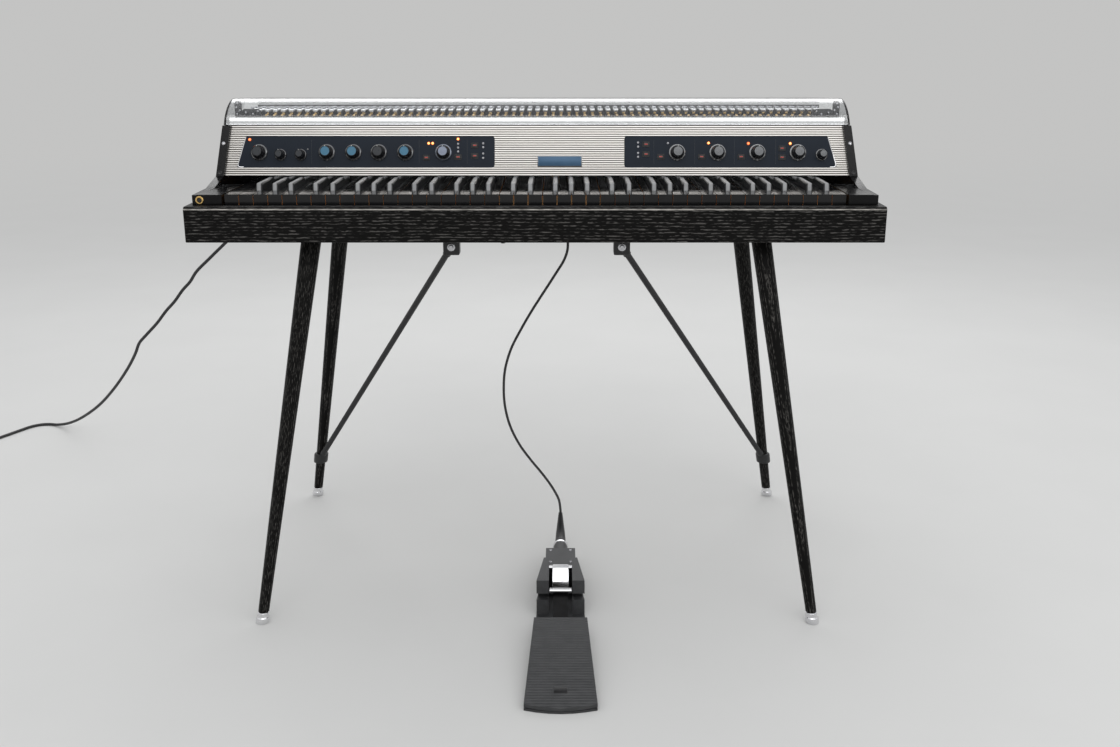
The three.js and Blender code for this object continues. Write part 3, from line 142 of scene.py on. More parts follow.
# Materials
class Nodes:
    """A node tree, and short ways to add to it."""

    def __init__(self, tree):
        self.tree = tree

    def fill(self, node, values):
        """Sets a node's inputs, each from a number, a colour or another node's output."""
        for socket, value in values.items():
            target = node.inputs[socket]
            if isinstance(value, bpy.types.NodeSocket):
                self.tree.links.new(value, target)
            else:
                target.default_value = (*value, 1) if target.type == "RGBA" else value

    def node(self, kind, values, output=0, **settings):
        """One output of a new node."""
        made = self.tree.nodes.new(f"ShaderNode{kind}")
        for key, value in settings.items():
            setattr(made, key, value)
        self.fill(made, values)
        return made.outputs[output]

    def place(self, output="Object"):
        return self.node("TexCoord", {}, output)

    def part(self, axis, output="Object"):
        """A part of the piece's own coordinates, or of the way that its surface faces."""
        return self.node("SeparateXYZ", {0: self.place(output)}, axis)

    def along(self, direction):
        """How far the piece's own coordinates reach along a direction."""
        values = {0: self.place(), 1: direction}
        return self.node("VectorMath", values, "Value", operation="DOT_PRODUCT")

    def noise(self, scale, detail, stretch=(1, 1, 1), distortion=0):
        """Noise in the piece's own coordinates, stretched by a scale along each axis."""
        space = self.node("Mapping", {"Vector": self.place(), "Scale": stretch})
        values = {"Vector": space, "Scale": scale, "Detail": detail, "Distortion": distortion}
        return self.node("TexNoise", values)

    def spread(self, value, low, high, to_low=0, to_high=1):
        """A value from low to high carried onto another range, and held inside it."""
        return self.node("MapRange", dict(enumerate((value, low, high, to_low, to_high))))

    def math(self, operation, first, second=0):
        return self.node("Math", {0: first, 1: second}, operation=operation)

    def blend(self, share, first, second):
        """Two colours, or a colour and a node's output, mixed by a share."""
        return self.node("Mix", {0: share, 6: first, 7: second}, 2, data_type="RGBA")

    def mottle(self, noise, first, second):
        """Two colours mixed by the middle of a noise's range."""
        return self.blend(self.spread(noise, 0.3, 0.7), first, second)


class Look(Nodes):
    """A Principled material whose textures follow the piece's own coordinates."""

    def __init__(self, name, sockets):
        self.data = bpy.data.materials.new(name)
        self.data.use_nodes = True
        super().__init__(self.data.node_tree)
        self.shader = self.tree.nodes["Principled BSDF"]
        self.fill(self.shader, sockets)

    def finish(self, colour, roughness, height=None, depth=0.0):
        """The material with its colour, roughness and, where a height is given, a relief."""
        self.fill(self.shader, {"Base Color": colour, "Roughness": roughness})
        if height is not None:
            normal = self.node("Bump", {"Height": height, "Distance": depth})
            self.fill(self.shader, {"Normal": normal})
        return self.data

    def give_way(self, share, shader):
        """Lets another shader take the surface over by a share."""
        mix = self.node("MixShader", {0: share, 1: self.shader.outputs[0], 2: shader})
        self.fill(self.tree.nodes["Material Output"], {"Surface": mix})


COAT_ROUGHNESS = 0.08
FINE_SHARE = 24
BRUSH_STRETCH = 40


def per_mille(tone):
    return tuple(part / 1000 for part in tone)


def moulded(name, colour, shade, gloss, metallic=0.0, size=20, relief=60, coat=0.0, spec=0.5):
    """Paint, plastic, rubber or metal whose tone and gloss drift a little over a fine relief.
    Tones are in thousandths, the drift's size in millimetres, the relief in micrometres."""
    coating = {"Coat Weight": coat, "Coat Roughness": COAT_ROUGHNESS}
    look = Look(name, {"Metallic": metallic, "Specular IOR Level": spec, **coating})
    drift, fine = look.noise(1000 / size, 5), look.noise(1000 * FINE_SHARE / size, 3)
    tone = look.mottle(drift, per_mille(colour), per_mille(shade))
    return look.finish(tone, look.spread(drift, 0.3, 0.75, *gloss), fine, relief / 1e6)


def stretched(across, along, axis):
    """A scale that differs along one axis."""
    scale = [across] * 3
    scale[axis] = along
    return scale


def brushed(name, colour, shade, gloss, axis, size=4, relief=30):
    """Metal with fine straight lines along one of its axes, in the units of moulded."""
    look = Look(name, {"Metallic": 1})
    scale = 1000 / size
    lines = look.noise(6, 4, stretched(scale, scale / BRUSH_STRETCH, axis))
    smear = look.noise(12, 4)
    both = look.math("ADD", look.math("MULTIPLY", lines, 0.6), look.math("MULTIPLY", smear, 0.4))
    tone = look.mottle(lines, per_mille(colour), per_mille(shade))
    return look.finish(tone, look.spread(both, 0.3, 0.7, *gloss), lines, relief / 1e6)


BLACK = (0.088, 0.084, 0.079)
NEAR_BLACK = (0.0032, 0.003, 0.0028)
GRAIN_PITCH = 0.0048
FLAME_SCALE, FLAME_ALONG, FLAME_DEPTH = 14.0, 1.6, 26.0
FLECK_SCALE, FLECK_ALONG = 560.0, 100.0
# A painted highlight along the front rail's top edge: its tone, half its height, and its drop below
# the rail's top
EDGE_HIGHLIGHT_TONE = (0.44, 0.42, 0.39)
EDGE_HIGHLIGHT_HALF = 0.0012
EDGE_HIGHLIGHT_DROP = 0.0044
rail_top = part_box("front_rail")[1].z


def grained(
    name, axis, colour=BLACK, pore=NEAR_BLACK, gloss=(0.2, 0.4), relief=0.0006, coarse=1.0,
    highlight_at=None,
):
    """Open-pored wood: growth lines along an axis, bent by a flame, with short flecks on them.
    Where a height is given, a painted highlight runs along its front faces at that height, broken
    up by noise."""
    look = Look(name, {"Specular IOR Level": 0.1})
    flame = look.noise(1, 3, stretched(FLAME_SCALE * coarse, FLAME_ALONG * coarse, axis), 0.4)
    bend = look.math("MULTIPLY", flame, FLAME_DEPTH)
    across = look.along(stretched(2 * pi * coarse / GRAIN_PITCH, 0, axis))
    lines = look.spread(look.math("SINE", look.math("ADD", across, bend)), -0.3, 0.9, 0.1)
    fleck = look.noise(1, 3, stretched(FLECK_SCALE * coarse, FLECK_ALONG * coarse, axis), 0.3)
    height = look.math("MULTIPLY", lines, look.spread(fleck, 0.44, 0.66))
    wood = look.blend(look.spread(height, 0.15, 0.85), pore, colour)
    # Painted highlight: a light line on the faces turned to the front at one height, broken up by
    # noise
    if highlight_at is not None:
        off = look.math("ABSOLUTE", look.math("SUBTRACT", look.part("Z"), highlight_at))
        front = look.spread(look.part("Y", "Normal"), -0.2, -0.5)
        edge_highlight = look.math("MULTIPLY", look.spread(off, EDGE_HIGHLIGHT_HALF, EDGE_HIGHLIGHT_HALF / 2), front)
        highlight_breaks = look.spread(look.noise(1, 4, (60, 400, 400)), 0.35, 0.6, 0.35)
        wood = look.blend(look.math("MULTIPLY", edge_highlight, highlight_breaks), wood, EDGE_HIGHLIGHT_TONE)
    return look.finish(wood, look.spread(height, 0.1, 0.8, gloss[1], gloss[0]), height, relief)


def lamp_look(name, colour, strength):
    """A lit indicator: a tinted dome that glows most at its middle."""
    look = Look(name, {"Base Color": colour, "Roughness": 0.2, "Emission Strength": strength})
    glow = look.spread(look.noise(300, 2), 0.2, 0.8, 0.75)
    dull = tuple(0.5 * part for part in colour)
    look.fill(look.shader, {"Emission Color": look.blend(glow, dull, colour)})
    return look.data


NATURAL_CAP = 0.002
NATURAL_FRONT = 0.00012


def natural_look():
    """A natural: glossy black cap and front over a bare wooden stick."""
    look = Look("natural_key", {"Specular IOR Level": 0.4})
    under_cap = look.math("LESS_THAN", look.part("Z"), key_top - NATURAL_CAP)
    behind_front = look.math("GREATER_THAN", look.part("Y"), key_front + NATURAL_FRONT)
    bare = look.math("MULTIPLY", under_cap, behind_front)
    grain, smear = look.noise(1, 4, (400, 18, 400), 0.4), look.noise(30, 5)
    stick = look.mottle(grain, (0.78, 0.46, 0.2), (0.56, 0.3, 0.12))
    black = look.mottle(smear, (0.005, 0.005, 0.0055), (0.008, 0.008, 0.0085))
    polish = look.spread(smear, 0.3, 0.75, 0.05, 0.16)
    gloss = look.math("ADD", polish, look.math("MULTIPLY", bare, 0.45))
    relief = look.math("MULTIPLY", grain, bare)
    return look.finish(look.blend(bare, black, stick), gloss, relief, 0.00004)


def sharp_look():
    """A satin sharp: light grey on its top and front, with painted shade darkening its sides and
    rounded shoulders.
    """
    look = Look("sharp_key", {})
    cloud = look.noise(60, 5)
    top = look.mottle(cloud, (0.27, 0.275, 0.28), (0.35, 0.355, 0.36))
    # Painted shade: faces that turn sideways are darkened, standing in for the shade down a sharp's
    # sides
    side_facing_for_painted_shade = look.math("ABSOLUTE", look.part("X", "Normal"))
    colour = look.blend(look.spread(side_facing_for_painted_shade, 0.3, 0.65), top, (0.03, 0.031, 0.033))
    gloss = look.spread(cloud, 0.3, 0.7, 0.26, 0.38)
    return look.finish(colour, gloss, look.noise(1800, 2), 0.00002)


BOARD_SETBACK = 0.0945


def board_look():
    """The footboard: worn grey metal, black where its tongue runs back under the lever."""
    look = Look("footboard", {})
    tongue = look.math("GREATER_THAN", look.part("Y"), key_front - BOARD_SETBACK)
    cloud = look.noise(50, 5)
    worn = look.mottle(cloud, (0.04, 0.041, 0.043), (0.06, 0.061, 0.063))
    for socket, bare, under in (("Metallic", 0.4, 0), ("Specular IOR Level", 0.5, 0.04)):
        look.fill(look.shader, {socket: look.spread(tongue, 0, 1, bare, under)})
    colour = look.blend(tongue, worn, (0.004, 0.004, 0.0042))
    gloss = look.spread(cloud, 0.3, 0.75, 0.38, 0.52)
    return look.finish(colour, gloss, look.noise(1200, 3), 0.00015)


def ribbed_look():
    """Brushed ribs along the panel, with painted shade darkening the grooves between them."""
    look = Look("ribbed_alloy", {"Metallic": 1})
    slope = panel.to_3x3() @ BACK / RIB_PITCH
    start = slope.dot(panel.to_translation())
    phase = look.math("FRACT", look.math("SUBTRACT", look.along(slope), start))
    crest = look.math("MULTIPLY", look.spread(phase, 0, 0.2), look.spread(phase, 1, 0.7))
    lines, smear = look.noise(1, 3, (6, 1500, 1500)), look.noise(9, 4)
    metal = look.mottle(lines, (0.62, 0.6, 0.57), (0.56, 0.54, 0.515))
    # Painted shade: the metal's colour turns dark in the grooves between the crests
    colour = look.blend(look.spread(crest, 0.15, 0.75), (0.1, 0.096, 0.09), metal)
    gloss = look.math("ADD", look.math("MULTIPLY", smear, 0.5), look.math("MULTIPLY", lines, 0.5))
    return look.finish(colour, look.spread(gloss, 0.3, 0.7, 0.27, 0.36))


def acrylic_look():
    """Clear acrylic that lets the light of the room through to what it covers."""
    tint = {"Base Color": (0.97, 0.98, 0.985), "Transmission Weight": 1.0, "IOR": 1.49}
    look = Look("clear_acrylic", tint)
    haze = look.spread(look.noise(5, 6), 0.45, 0.8, 0.008, 0.05)
    look.fill(look.shader, {"Roughness": haze})
    shadow = look.node("LightPath", {}, "Is Shadow Ray")
    look.give_way(shadow, look.node("BsdfTransparent", {"Color": (0.94, 0.95, 0.955)}))
    return look.data


looks = {
    "wood_x": grained("black_wood_x", 0),
    "wood_rail": grained("black_wood_rail", 0, highlight_at=rail_top - EDGE_HIGHLIGHT_DROP),
    "wood_leg": grained("black_wood_leg", 2, coarse=1.3),
    "keybed": grained("keybed_wood", 0, (0.5, 0.33, 0.17), (0.36, 0.21, 0.1), (0.4, 0.55), 0.0002),
    "side": moulded("side_lacquer", (3, 3, 3.3), (5, 5, 5.4), (0.14, 0.26), spec=0.2),
    "slate": moulded(
        "slate_paint", (12, 16.5, 25), (15.5, 21, 31), (0.34, 0.46), 0.05, 30, spec=0.12
    ),
    "chrome": moulded("chrome", (780, 780, 790), (700, 700, 720), (0.05, 0.13), 1, 30, 10),
    "steel": moulded("black_steel", (16, 16, 17), (24, 24, 25), (0.3, 0.45), 0.3),
    "screw": moulded("screw_steel", (600, 600, 620), (450, 450, 470), (0.18, 0.32), 1, 4, 10),
    "gold": moulded("gold_ring", (800, 560, 220), (650, 420, 150), (0.15, 0.28), 1, 4, 10),
    "copper": moulded("copper_wire", (620, 270, 120), (420, 170, 70), (0.25, 0.4), 1, 3, 20),
    "brass": moulded("brass", (720, 520, 250), (550, 380, 170), (0.18, 0.32), 1, 6, 20),
    "cord": moulded("cord_rubber", (12, 12, 13), (20, 20, 21), (0.45, 0.62), 0, 10, 50),
    "plastic": moulded("black_plastic", (10, 10, 11), (16, 16, 17), (0.3, 0.45)),
    "knob": moulded("knob_black", (8, 8, 9), (13, 13, 14), (0.1, 0.22), 0, 6, 20, 0.5),
    "blue": moulded("cap_blue", (25, 135, 225), (35, 160, 260), (0.28, 0.4), 0.1, 4, 20),
    "grey": moulded("cap_grey", (30, 33, 37), (42, 45, 50), (0.26, 0.38), 0.2, 4, 20, spec=0.25),
    "cap": moulded("cap_steel", (80, 83, 87), (115, 118, 122), (0.16, 0.26), 0.9, 4, 10),
    "polished": moulded("cap_polished", (160, 165, 170), (220, 225, 230), (0.12, 0.2), 0.9, 4, 10),
    "ring": moulded("knob_ring", (340, 345, 350), (420, 425, 430), (0.1, 0.18), 0.9, 4, 10),
    "cast": moulded("cast_grey", (35, 36, 38), (50, 51, 53), (0.35, 0.5), 0.35, 12, 200),
    "dim": moulded("lamp_dark", (340, 340, 360), (420, 420, 440), (0.2, 0.3), 0, 2, 10),
    "white": moulded("white_mark", (600, 600, 580), (700, 700, 680), (0.4, 0.5), 0, 3, 10),
    "badge": moulded("badge_blue", (28, 82, 155), (40, 100, 180), (0.3, 0.42), 0.3, 20, 30),
    "strip": brushed("strip_chrome", (860, 860, 860), (800, 800, 800), (0.16, 0.24), 0, 10, 10),
    "tone": brushed("tone_steel", (900, 900, 900), (780, 780, 790), (0.12, 0.26), 1),
    "silver": brushed("knob_silver", (340, 370, 430), (250, 280, 340), (0.24, 0.36), 0, 2),
    "silver_cap": brushed("knob_silver_cap", (170, 190, 235), (120, 137, 175), (0.24, 0.36), 0, 2),
    "red_lamp": lamp_look("lamp_red", (1.0, 0.2, 0.06), 2.2),
    "amber_lamp": lamp_look("lamp_amber", (1.0, 0.42, 0.13), 2.6),
    "lamp_rim": lamp_look("lamp_rim", (0.5, 0.09, 0.012), 0.7),
    "cap_red": lamp_look("cap_red", (0.3, 0.028, 0.018), 0.3),
    "natural": natural_look(),
    "sharp": sharp_look(),
    "board": board_look(),
    "ribs": ribbed_look(),
    "acrylic": acrylic_look(),
}


# Mesh helpers
def soft_ring(centre, across, up, half_width, half_height, roundness, sides=32, offset=0.5):
    """A ring between an ellipse, at roundness 1, and a rectangle with round corners, at less."""
    points = []
    for i in range(sides):
        angle = 2 * pi * (i + offset) / sides
        turn = (cos(angle), sin(angle))
        x, y = (copysign(abs(part) ** roundness, part) for part in turn)
        points.append(centre + across * half_width * x + up * half_height * y)
    return points


def circle(centre, across, up, radius, sides):
    return soft_ring(centre, across, up, radius, radius, 1, sides, 0)


def loft(bm, rings, index=0):
    """A skin through rings of equally many points, closed at both ends."""
    rows = [[bm.verts.new(point) for point in ring] for ring in rings]
    count = len(rows[0])
    for row, after in zip(rows, rows[1:]):
        for i in range(count):
            j = (i + 1) % count
            bm.faces.new((row[i], row[j], after[j], after[i])).material_index = index
    for row in (rows[0][::-1], rows[-1]):
        bm.faces.new(row).material_index = index


def lathe(bm, profile, place, sides=32, index=0):
    """A turned form. Its rows are radius, height and, where it isn't the index, the material of
    the skin above."""
    across, up, along = (place.to_3x3() @ axis for axis in (RIGHT, BACK, UP))
    rows = []
    for radius, height, *_ in profile:
        centre = place.to_translation() + along * height
        ring = circle(centre, across, up, radius, sides) if radius else [centre]
        rows.append([bm.verts.new(point) for point in ring])
    for (_, _, *material), low, high in zip(profile, rows, rows[1:]):
        for i in range(sides):
            j = (i + 1) % sides
            corners = [row[k % len(row)] for row, k in ((low, i), (low, j), (high, j), (high, i))]
            distinct = list(dict.fromkeys(corners))
            if len(distinct) > 2:
                bm.faces.new(distinct).material_index = material[0] if material else index
    for row in (rows[0][::-1], rows[-1]):
        if len(row) > 1:
            bm.faces.new(row).material_index = index


def block(bm, low, high, rounding=0.0, place=Matrix(), index=0, segments=2):
    """A box between two corners with its edges rounded off."""
    low, high = Vector(low), Vector(high)
    middle = moved((low + high) / 2) @ Matrix.Diagonal((*(high - low), 1))
    made = bmesh.ops.create_cube(bm, size=1, matrix=place @ middle)["verts"]
    for face in {face for vert in made for face in vert.link_faces}:
        face.material_index = index
    if rounding:
        edges = dict.fromkeys(edge for vert in made for edge in vert.link_edges)
        bmesh.ops.bevel(
            bm, geom=list(edges), offset=rounding, segments=segments, profile=0.5,
            affect="EDGES", material=index,
        )


def wire(bm, points, radius, index=0, sides=8):
    """A thin round line through points."""
    rings = []
    for i, point in enumerate(points):
        along = points[min(i + 1, len(points) - 1)] - points[max(i - 1, 0)]
        turn = along.to_track_quat("Z", "Y").to_matrix()
        rings.append(circle(point, turn @ RIGHT, turn @ BACK, radius, sides))
    loft(bm, rings, index)


def facing(start, way):
    """A place at start whose z axis points in a direction."""
    turn = way.normalized().to_track_quat("Z", "Y").to_matrix().to_4x4()
    return moved(start) @ turn


def piece(name, bm, skins, crease=35, body="case", origin=None, stands_for=None):
    """An object from a mesh and the names of its looks, smooth but for its creases. It rides on a
    body and, where a node is named, stands for it."""
    bmesh.ops.recalc_face_normals(bm, faces=bm.faces)
    if origin is not None:
        bm.transform(origin.inverted())
    mesh = bpy.data.meshes.new(name)
    bm.to_mesh(mesh)
    bm.free()
    mesh.shade_smooth()
    mesh.set_sharp_from_angle(angle=radians(crease))
    for skin in skins.split():
        mesh.materials.append(looks[skin])
    made = show(name, mesh)
    if origin is not None:
        made.matrix_world = origin
    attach(made, body)
    if stands_for:
        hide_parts(stands_for)
    return made


def soften(made, width, segments=2, angle=30.0):
    """Rounds the edges of a piece."""
    modifier = made.modifiers.new("rounding", "BEVEL")
    modifier.width = width
    modifier.segments = segments
    modifier.limit_method = "ANGLE"
    modifier.angle_limit = radians(angle)
    modifier.miter_outer = "MITER_ARC"


WELD_GAP = 0.000002
FLAT_ANGLE, EDGE_ANGLE = radians(0.5), radians(25)


def dress(node, material, rounding, segments):
    """Gives a solid of the frame its material and rounds its edges."""
    made = frame["nodes"][node]
    mesh = made.data
    mesh.materials.clear()
    mesh.materials.append(looks[material])
    mesh.polygons.foreach_set("material_index", [0] * len(mesh.polygons))
    mesh.shade_smooth()
    made.modifiers.new("weld", "WELD").merge_threshold = WELD_GAP
    flatten = made.modifiers.new("flatten", "DECIMATE")
    flatten.decimate_type = "DISSOLVE"
    flatten.angle_limit = FLAT_ANGLE
    if rounding:
        soften(made, rounding, segments)
        made.modifiers.new("even", "WEIGHTED_NORMAL").weight = 100
    else:
        made.modifiers.new("creases", "EDGE_SPLIT").split_angle = EDGE_ANGLE


# Cords
def smooth_line(points, step=CORD_STEP):
    """Points a step apart on a smooth curve through the given ones, slower where they lie close."""
    ends = [2 * points[0] - points[1], *points, 2 * points[-1] - points[-2]]
    line = []
    for near in zip(ends, ends[1:], ends[2:], ends[3:]):
        knots = [0.0]
        for a, b in zip(near, near[1:]):
            knots.append(knots[-1] + sqrt((b - a).length))
        levels = [list(zip(knots, knots[1:])), list(zip(knots, knots[2:])), [knots[1:3]]]
        count = max(2, ceil((near[2] - near[1]).length / step))
        for k in range(count):
            t = knots[1] + (knots[2] - knots[1]) * k / count
            row = near
            for level in levels:
                row = [
                    a.lerp(b, (t - low) / (high - low))
                    for a, b, (low, high) in zip(row, row[1:], level)
                ]
            line.append(row[0])
    line.append(points[-1].copy())
    return line


def cord_piece(name, line, diameter, *stands_for):
    """A round cord along a line, in place of its solids."""
    curve = bpy.data.curves.new(name, "CURVE")
    curve.dimensions = "3D"
    curve.bevel_depth = diameter / 2
    curve.bevel_resolution = 5
    curve.use_fill_caps = True
    spline = curve.splines.new("POLY")
    spline.points.add(len(line) - 1)
    for point, place in zip(spline.points, line):
        point.co = (*place, 1)
    spline.use_smooth = True
    curve.materials.append(looks["cord"])
    made = show(name, curve)
    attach(made, "case")
    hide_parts(*stands_for)
    return made


def coil_line():
    """The coil's middle line, wound clockwise: in along the floor, up a layer, and out on top."""
    total = 2 * COIL_LAYER_TURNS + 0.5
    inner = COIL_MIDDLE_RADIUS - COIL_PITCH * COIL_LAYER_TURNS / 2 - COIL_PITCH / 4
    ground = MAINS_ROUTE[-1][2]
    heading = Vector(MAINS_ROUTE[-1]) - Vector(MAINS_ROUTE[-2])
    start = atan2(heading.x, -heading.y)
    line = []
    for i in range(round(total * COIL_STEPS) + 1):
        turns = i / COIL_STEPS
        radius = inner + COIL_PITCH * abs(turns - total / 2)
        climb = min(1.0, max(0.0, (turns - COIL_LAYER_TURNS) * 2))
        angle = start - 2 * pi * turns
        height = ground + COIL_PITCH * climb
        line.append(Vector((radius * cos(angle), radius * sin(angle), height)))
    return line


def level_direction(a, b):
    flat = b - a
    flat.z = 0
    return flat.normalized()


def ribs(shares, start, end, first, last, groove, width):
    """Rows of share, past and radius for a relief: a rib at each share, and the groove after it."""
    for share in shares:
        past, radius = start + (end - start) * share, first + (last - first) * share
        yield share, past, radius
        yield share, past + width, radius - groove


# Ribs of a relief: from and to where, the first and the last radius, the grooves' depth and width
JACK_RIBS = (0.020, 0.036, 0.0058, 0.0034, 0.0005, 0.0012)
JACK_END = (0.0028, 0.038)
JACK_ROWS = mm((8.5, 0, 1), (8.5, 2.2, 1), (6.8, 2.6), (7, 4), (7, 16), (6.4, 17), (6.2, 19))
jack_tip = spot("sustain_jack", 0.5, 0.5, 0)

PEDAL_X = 0.041
BOOT_NECK_RADIUS = 0.0042
BOOT_RADIUS = 0.014
BOOT_BACK = 0.1653
BOOT_HEIGHT = 0.030
BOOT_REACH = 0.114
BOOT_RISE = 0.044
BOOT_STEP = 0.003
BOOT_GROOVE = 0.0007
BOOT_RING_SHARE = 0.36
BOOT_RING_ROWS = mm((12.6, -3), (14.6, -2), (14.6, 2), (12.6, 3))
# The boot's middle line as shares of its reach and rise, and its radius along that line as shares
# of the way and of the way out from the neck's radius
BOOT_SHARES = [(0, 0), (0.3, 0.05), (0.42, 0.09), (0.72, 0.41), (1, 1)]
BOOT_TAPER = [(0.0, 1.0), (0.28, 1.0), (0.38, 0.72), (0.66, 0.5), (1.0, 0.0)]
boot_line = [
    on_floor(PEDAL_X, BOOT_BACK + BOOT_REACH * reach, BOOT_HEIGHT + BOOT_RISE * rise)
    for reach, rise in BOOT_SHARES
]
boot_way = (boot_line[-1] - boot_line[-2]).normalized()


def sustain_jack():
    """A plug in its socket under the case: bright collar, barrel and a soft tapered end."""
    bm = bmesh.new()
    top = spot("sustain_jack", 0.5, 0.5, 1)
    relief = ribs([i / 4 for i in range(5)], *JACK_RIBS)
    profile = [*JACK_ROWS, *((radius, past) for _, past, radius in relief), JACK_END]
    lathe(bm, profile, facing(top, jack_tip - top), 28)
    return piece("sustain_plug", bm, "plastic chrome", stands_for="sustain_jack")


def boot_share(share):
    """The boot's radius along its length, from full at the housing to the cord's neck."""
    for (a, low), (b, high) in zip(BOOT_TAPER, BOOT_TAPER[1:]):
        if share <= b:
            return low + (high - low) * (share - a) / (b - a)
    return 0.0


def pedal_boot():
    """The connector behind the pedal: moulded body, bright ring and a ribbed, curved relief."""
    bm = bmesh.new()
    line = smooth_line(boot_line, BOOT_STEP)
    total = sum((b - a).length for a, b in zip(line, line[1:]))
    rings = []
    run = 0.0
    for i, centre in enumerate(line):
        before, after = line[max(0, i - 1)], line[min(len(line) - 1, i + 1)]
        along = (after - before).normalized() if i else BACK
        run += (centre - before).length
        share = run / total
        radius = BOOT_NECK_RADIUS + (BOOT_RADIUS - BOOT_NECK_RADIUS) * boot_share(share)
        if share > 0.5 and i % 2:
            radius -= BOOT_GROOVE
        rings.append(circle(centre, RIGHT, along.cross(RIGHT), radius, 28))
    loft(bm, rings)
    ring = round(len(line) * BOOT_RING_SHARE)
    ring_at, ring_next = line[ring : ring + 2]
    lathe(bm, BOOT_RING_ROWS, facing(ring_at, ring_next - ring_at), 32, 1)
    return piece("pedal_connector", bm, "plastic chrome", 50, stands_for="pedal_boot")


def sustain_cable(with_pieces):
    start = jack_tip - UP * TOUCH_GAP
    end = boot_line[-1] + boot_way * TOUCH_GAP
    points = [start, start - UP * SUSTAIN_DIAMETER]
    points += [on_floor(*place) for place in SUSTAIN_ROUTE]
    points += [end + boot_way * SUSTAIN_DIAMETER, end]
    line = smooth_line(points) + smooth_line(boot_line[:0:-1])
    made = cord_piece("sustain_cord", line, SUSTAIN_DIAMETER, "sustain_cable")


# Rows of a moulded body: past its start, shares of its half width and height, roundness
GLAND_ROWS = [
    (0, 0.97, 0.97, 0.4), (0.0012, 1, 1, 0.4), (0.026, 1, 1, 0.42), (0.029, 0.93, 0.93, 0.5)
]
GLAND_SHOULDER, GLAND_RELIEF = 0.033, 0.035
GLAND_RIBS = (0.0068, 0.0048, 0.0007, 0.0014)
GLAND_END_RADIUS = 0.0044
gland_end = spot("mains_gland", 0.5, 1, 0.5)


def mains_gland():
    """A moulded mains connector in the back wall with a ribbed, tapered relief."""
    bm = bmesh.new()
    low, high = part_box("mains_gland")
    width, length, height = high - low
    wide, tall = width / 2, height / 2
    rows = [(past, wide * w, tall * h, roundness) for past, w, h, roundness in GLAND_ROWS]
    rows.append((GLAND_SHOULDER, tall, tall * 0.66, 0.8))
    relief = ribs([i / 6 for i in range(7)], GLAND_RELIEF, length - 0.002, *GLAND_RIBS)
    rows += [(past, radius, radius, 1) for _, past, radius in relief]
    rows.append((length, GLAND_END_RADIUS, GLAND_END_RADIUS, 1))
    start = spot("mains_gland", 0.5, 0, 0.5)
    loft(bm, [soft_ring(start + BACK * past, RIGHT, UP, w, h, r) for past, w, h, r in rows])
    return piece("mains_connector", bm, "plastic", 45, stands_for="mains_gland")


def mains_line():
    """The lead's whole line, and the direction in which it ends."""
    start = gland_end + BACK * TOUCH_GAP
    route = [on_floor(*place) for place in MAINS_ROUTE]
    coil = coil_line()
    entry = level_direction(coil[0], coil[1])
    lead_end = route[-1] + entry * MAINS_DIAMETER
    shift = lead_end + entry * (TOUCH_GAP + MAINS_DIAMETER) - coil[0]
    turns = [point + shift for point in coil]
    leaving = level_direction(turns[-2], turns[-1])
    free = smooth_line([start, start + BACK * MAINS_DIAMETER, *route, lead_end])
    line = [*free, *turns, turns[-1] + leaving * MAINS_DIAMETER]
    return line, leaving


PLUG_HALF_WIDTH, PLUG_HALF_HEIGHT = 0.014, 0.0104
PLUG_FACE = 0.0585
PLUG_RIBS = (0, 0.024, 0.0046, 0.0066, 0.0006, 0.0012)
PLUG_NECK, PLUG_SHOULDER = (0, 0.0046, 0.0046, 1), (0.0265, 0.0072, 0.0072, 0.8)
PLUG_ROWS = [
    (0.031, 1, 1, 0.45), (0.040, 0.93, 0.94, 0.5), (0.052, 1, 1, 0.45), (PLUG_FACE, 1, 1, 0.45),
    (0.060, 0.95, 0.93, 0.45),
]
BLADE_GAP_HALF = 0.00635
BLADE_HALF_THICKNESS, BLADE_LENGTH, BLADE_HALF_WIDTH = 0.00075, 0.0175, 0.00315
PIN_DROP = 0.0059
PIN_ROWS = mm((2.3, 0), (2.3, 17.5), (1.4, 19), (0, 19.5))


def mains_plug(start, along):
    """A moulded plug: ribbed relief, waisted body, two flat blades and a round pin."""
    bm = bmesh.new()
    side = UP.cross(along)
    lift = PLUG_HALF_HEIGHT - start.z
    rows = [(*PLUG_NECK, 0)]
    for share, past, radius in ribs([i / 7 for i in range(1, 7)], *PLUG_RIBS):
        rows.append((past, radius, radius, 1, lift * share))
    rows.append((*PLUG_SHOULDER, lift))
    for past, wide, tall, roundness in PLUG_ROWS:
        rows.append((past, PLUG_HALF_WIDTH * wide, PLUG_HALF_HEIGHT * tall, roundness, lift))
    rings = [
        soft_ring(start + along * past + UP * rise, side, UP, w, h, r)
        for past, w, h, r, rise in rows
    ]
    loft(bm, rings)
    face = start + along * PLUG_FACE + UP * lift
    turn = Matrix((side, along, UP)).transposed().to_4x4()
    for way in (-1, 1):
        root = moved(face + side * way * BLADE_GAP_HALF) @ turn
        low = (-BLADE_HALF_THICKNESS, 0, -BLADE_HALF_WIDTH)
        high = (BLADE_HALF_THICKNESS, BLADE_LENGTH, BLADE_HALF_WIDTH)
        block(bm, low, high, 0.0004, root, 1)
    pin = face - UP * PIN_DROP
    lathe(bm, PIN_ROWS, facing(pin, along), 20, 1)
    return piece(
        "mains_plug_moulded", bm, "plastic brass", 45, stands_for="mains_plug",
    )


def mains_cord():
    line, leaving = mains_line()
    plug = mains_plug(line[-1] + leaving * TOUCH_GAP, leaving)
    gland = mains_gland()
    made = cord_piece("mains_cord", line, MAINS_DIAMETER, "mains_lead", "mains_coil")


sustain_cable([sustain_jack(), pedal_boot()])
mains_cord()


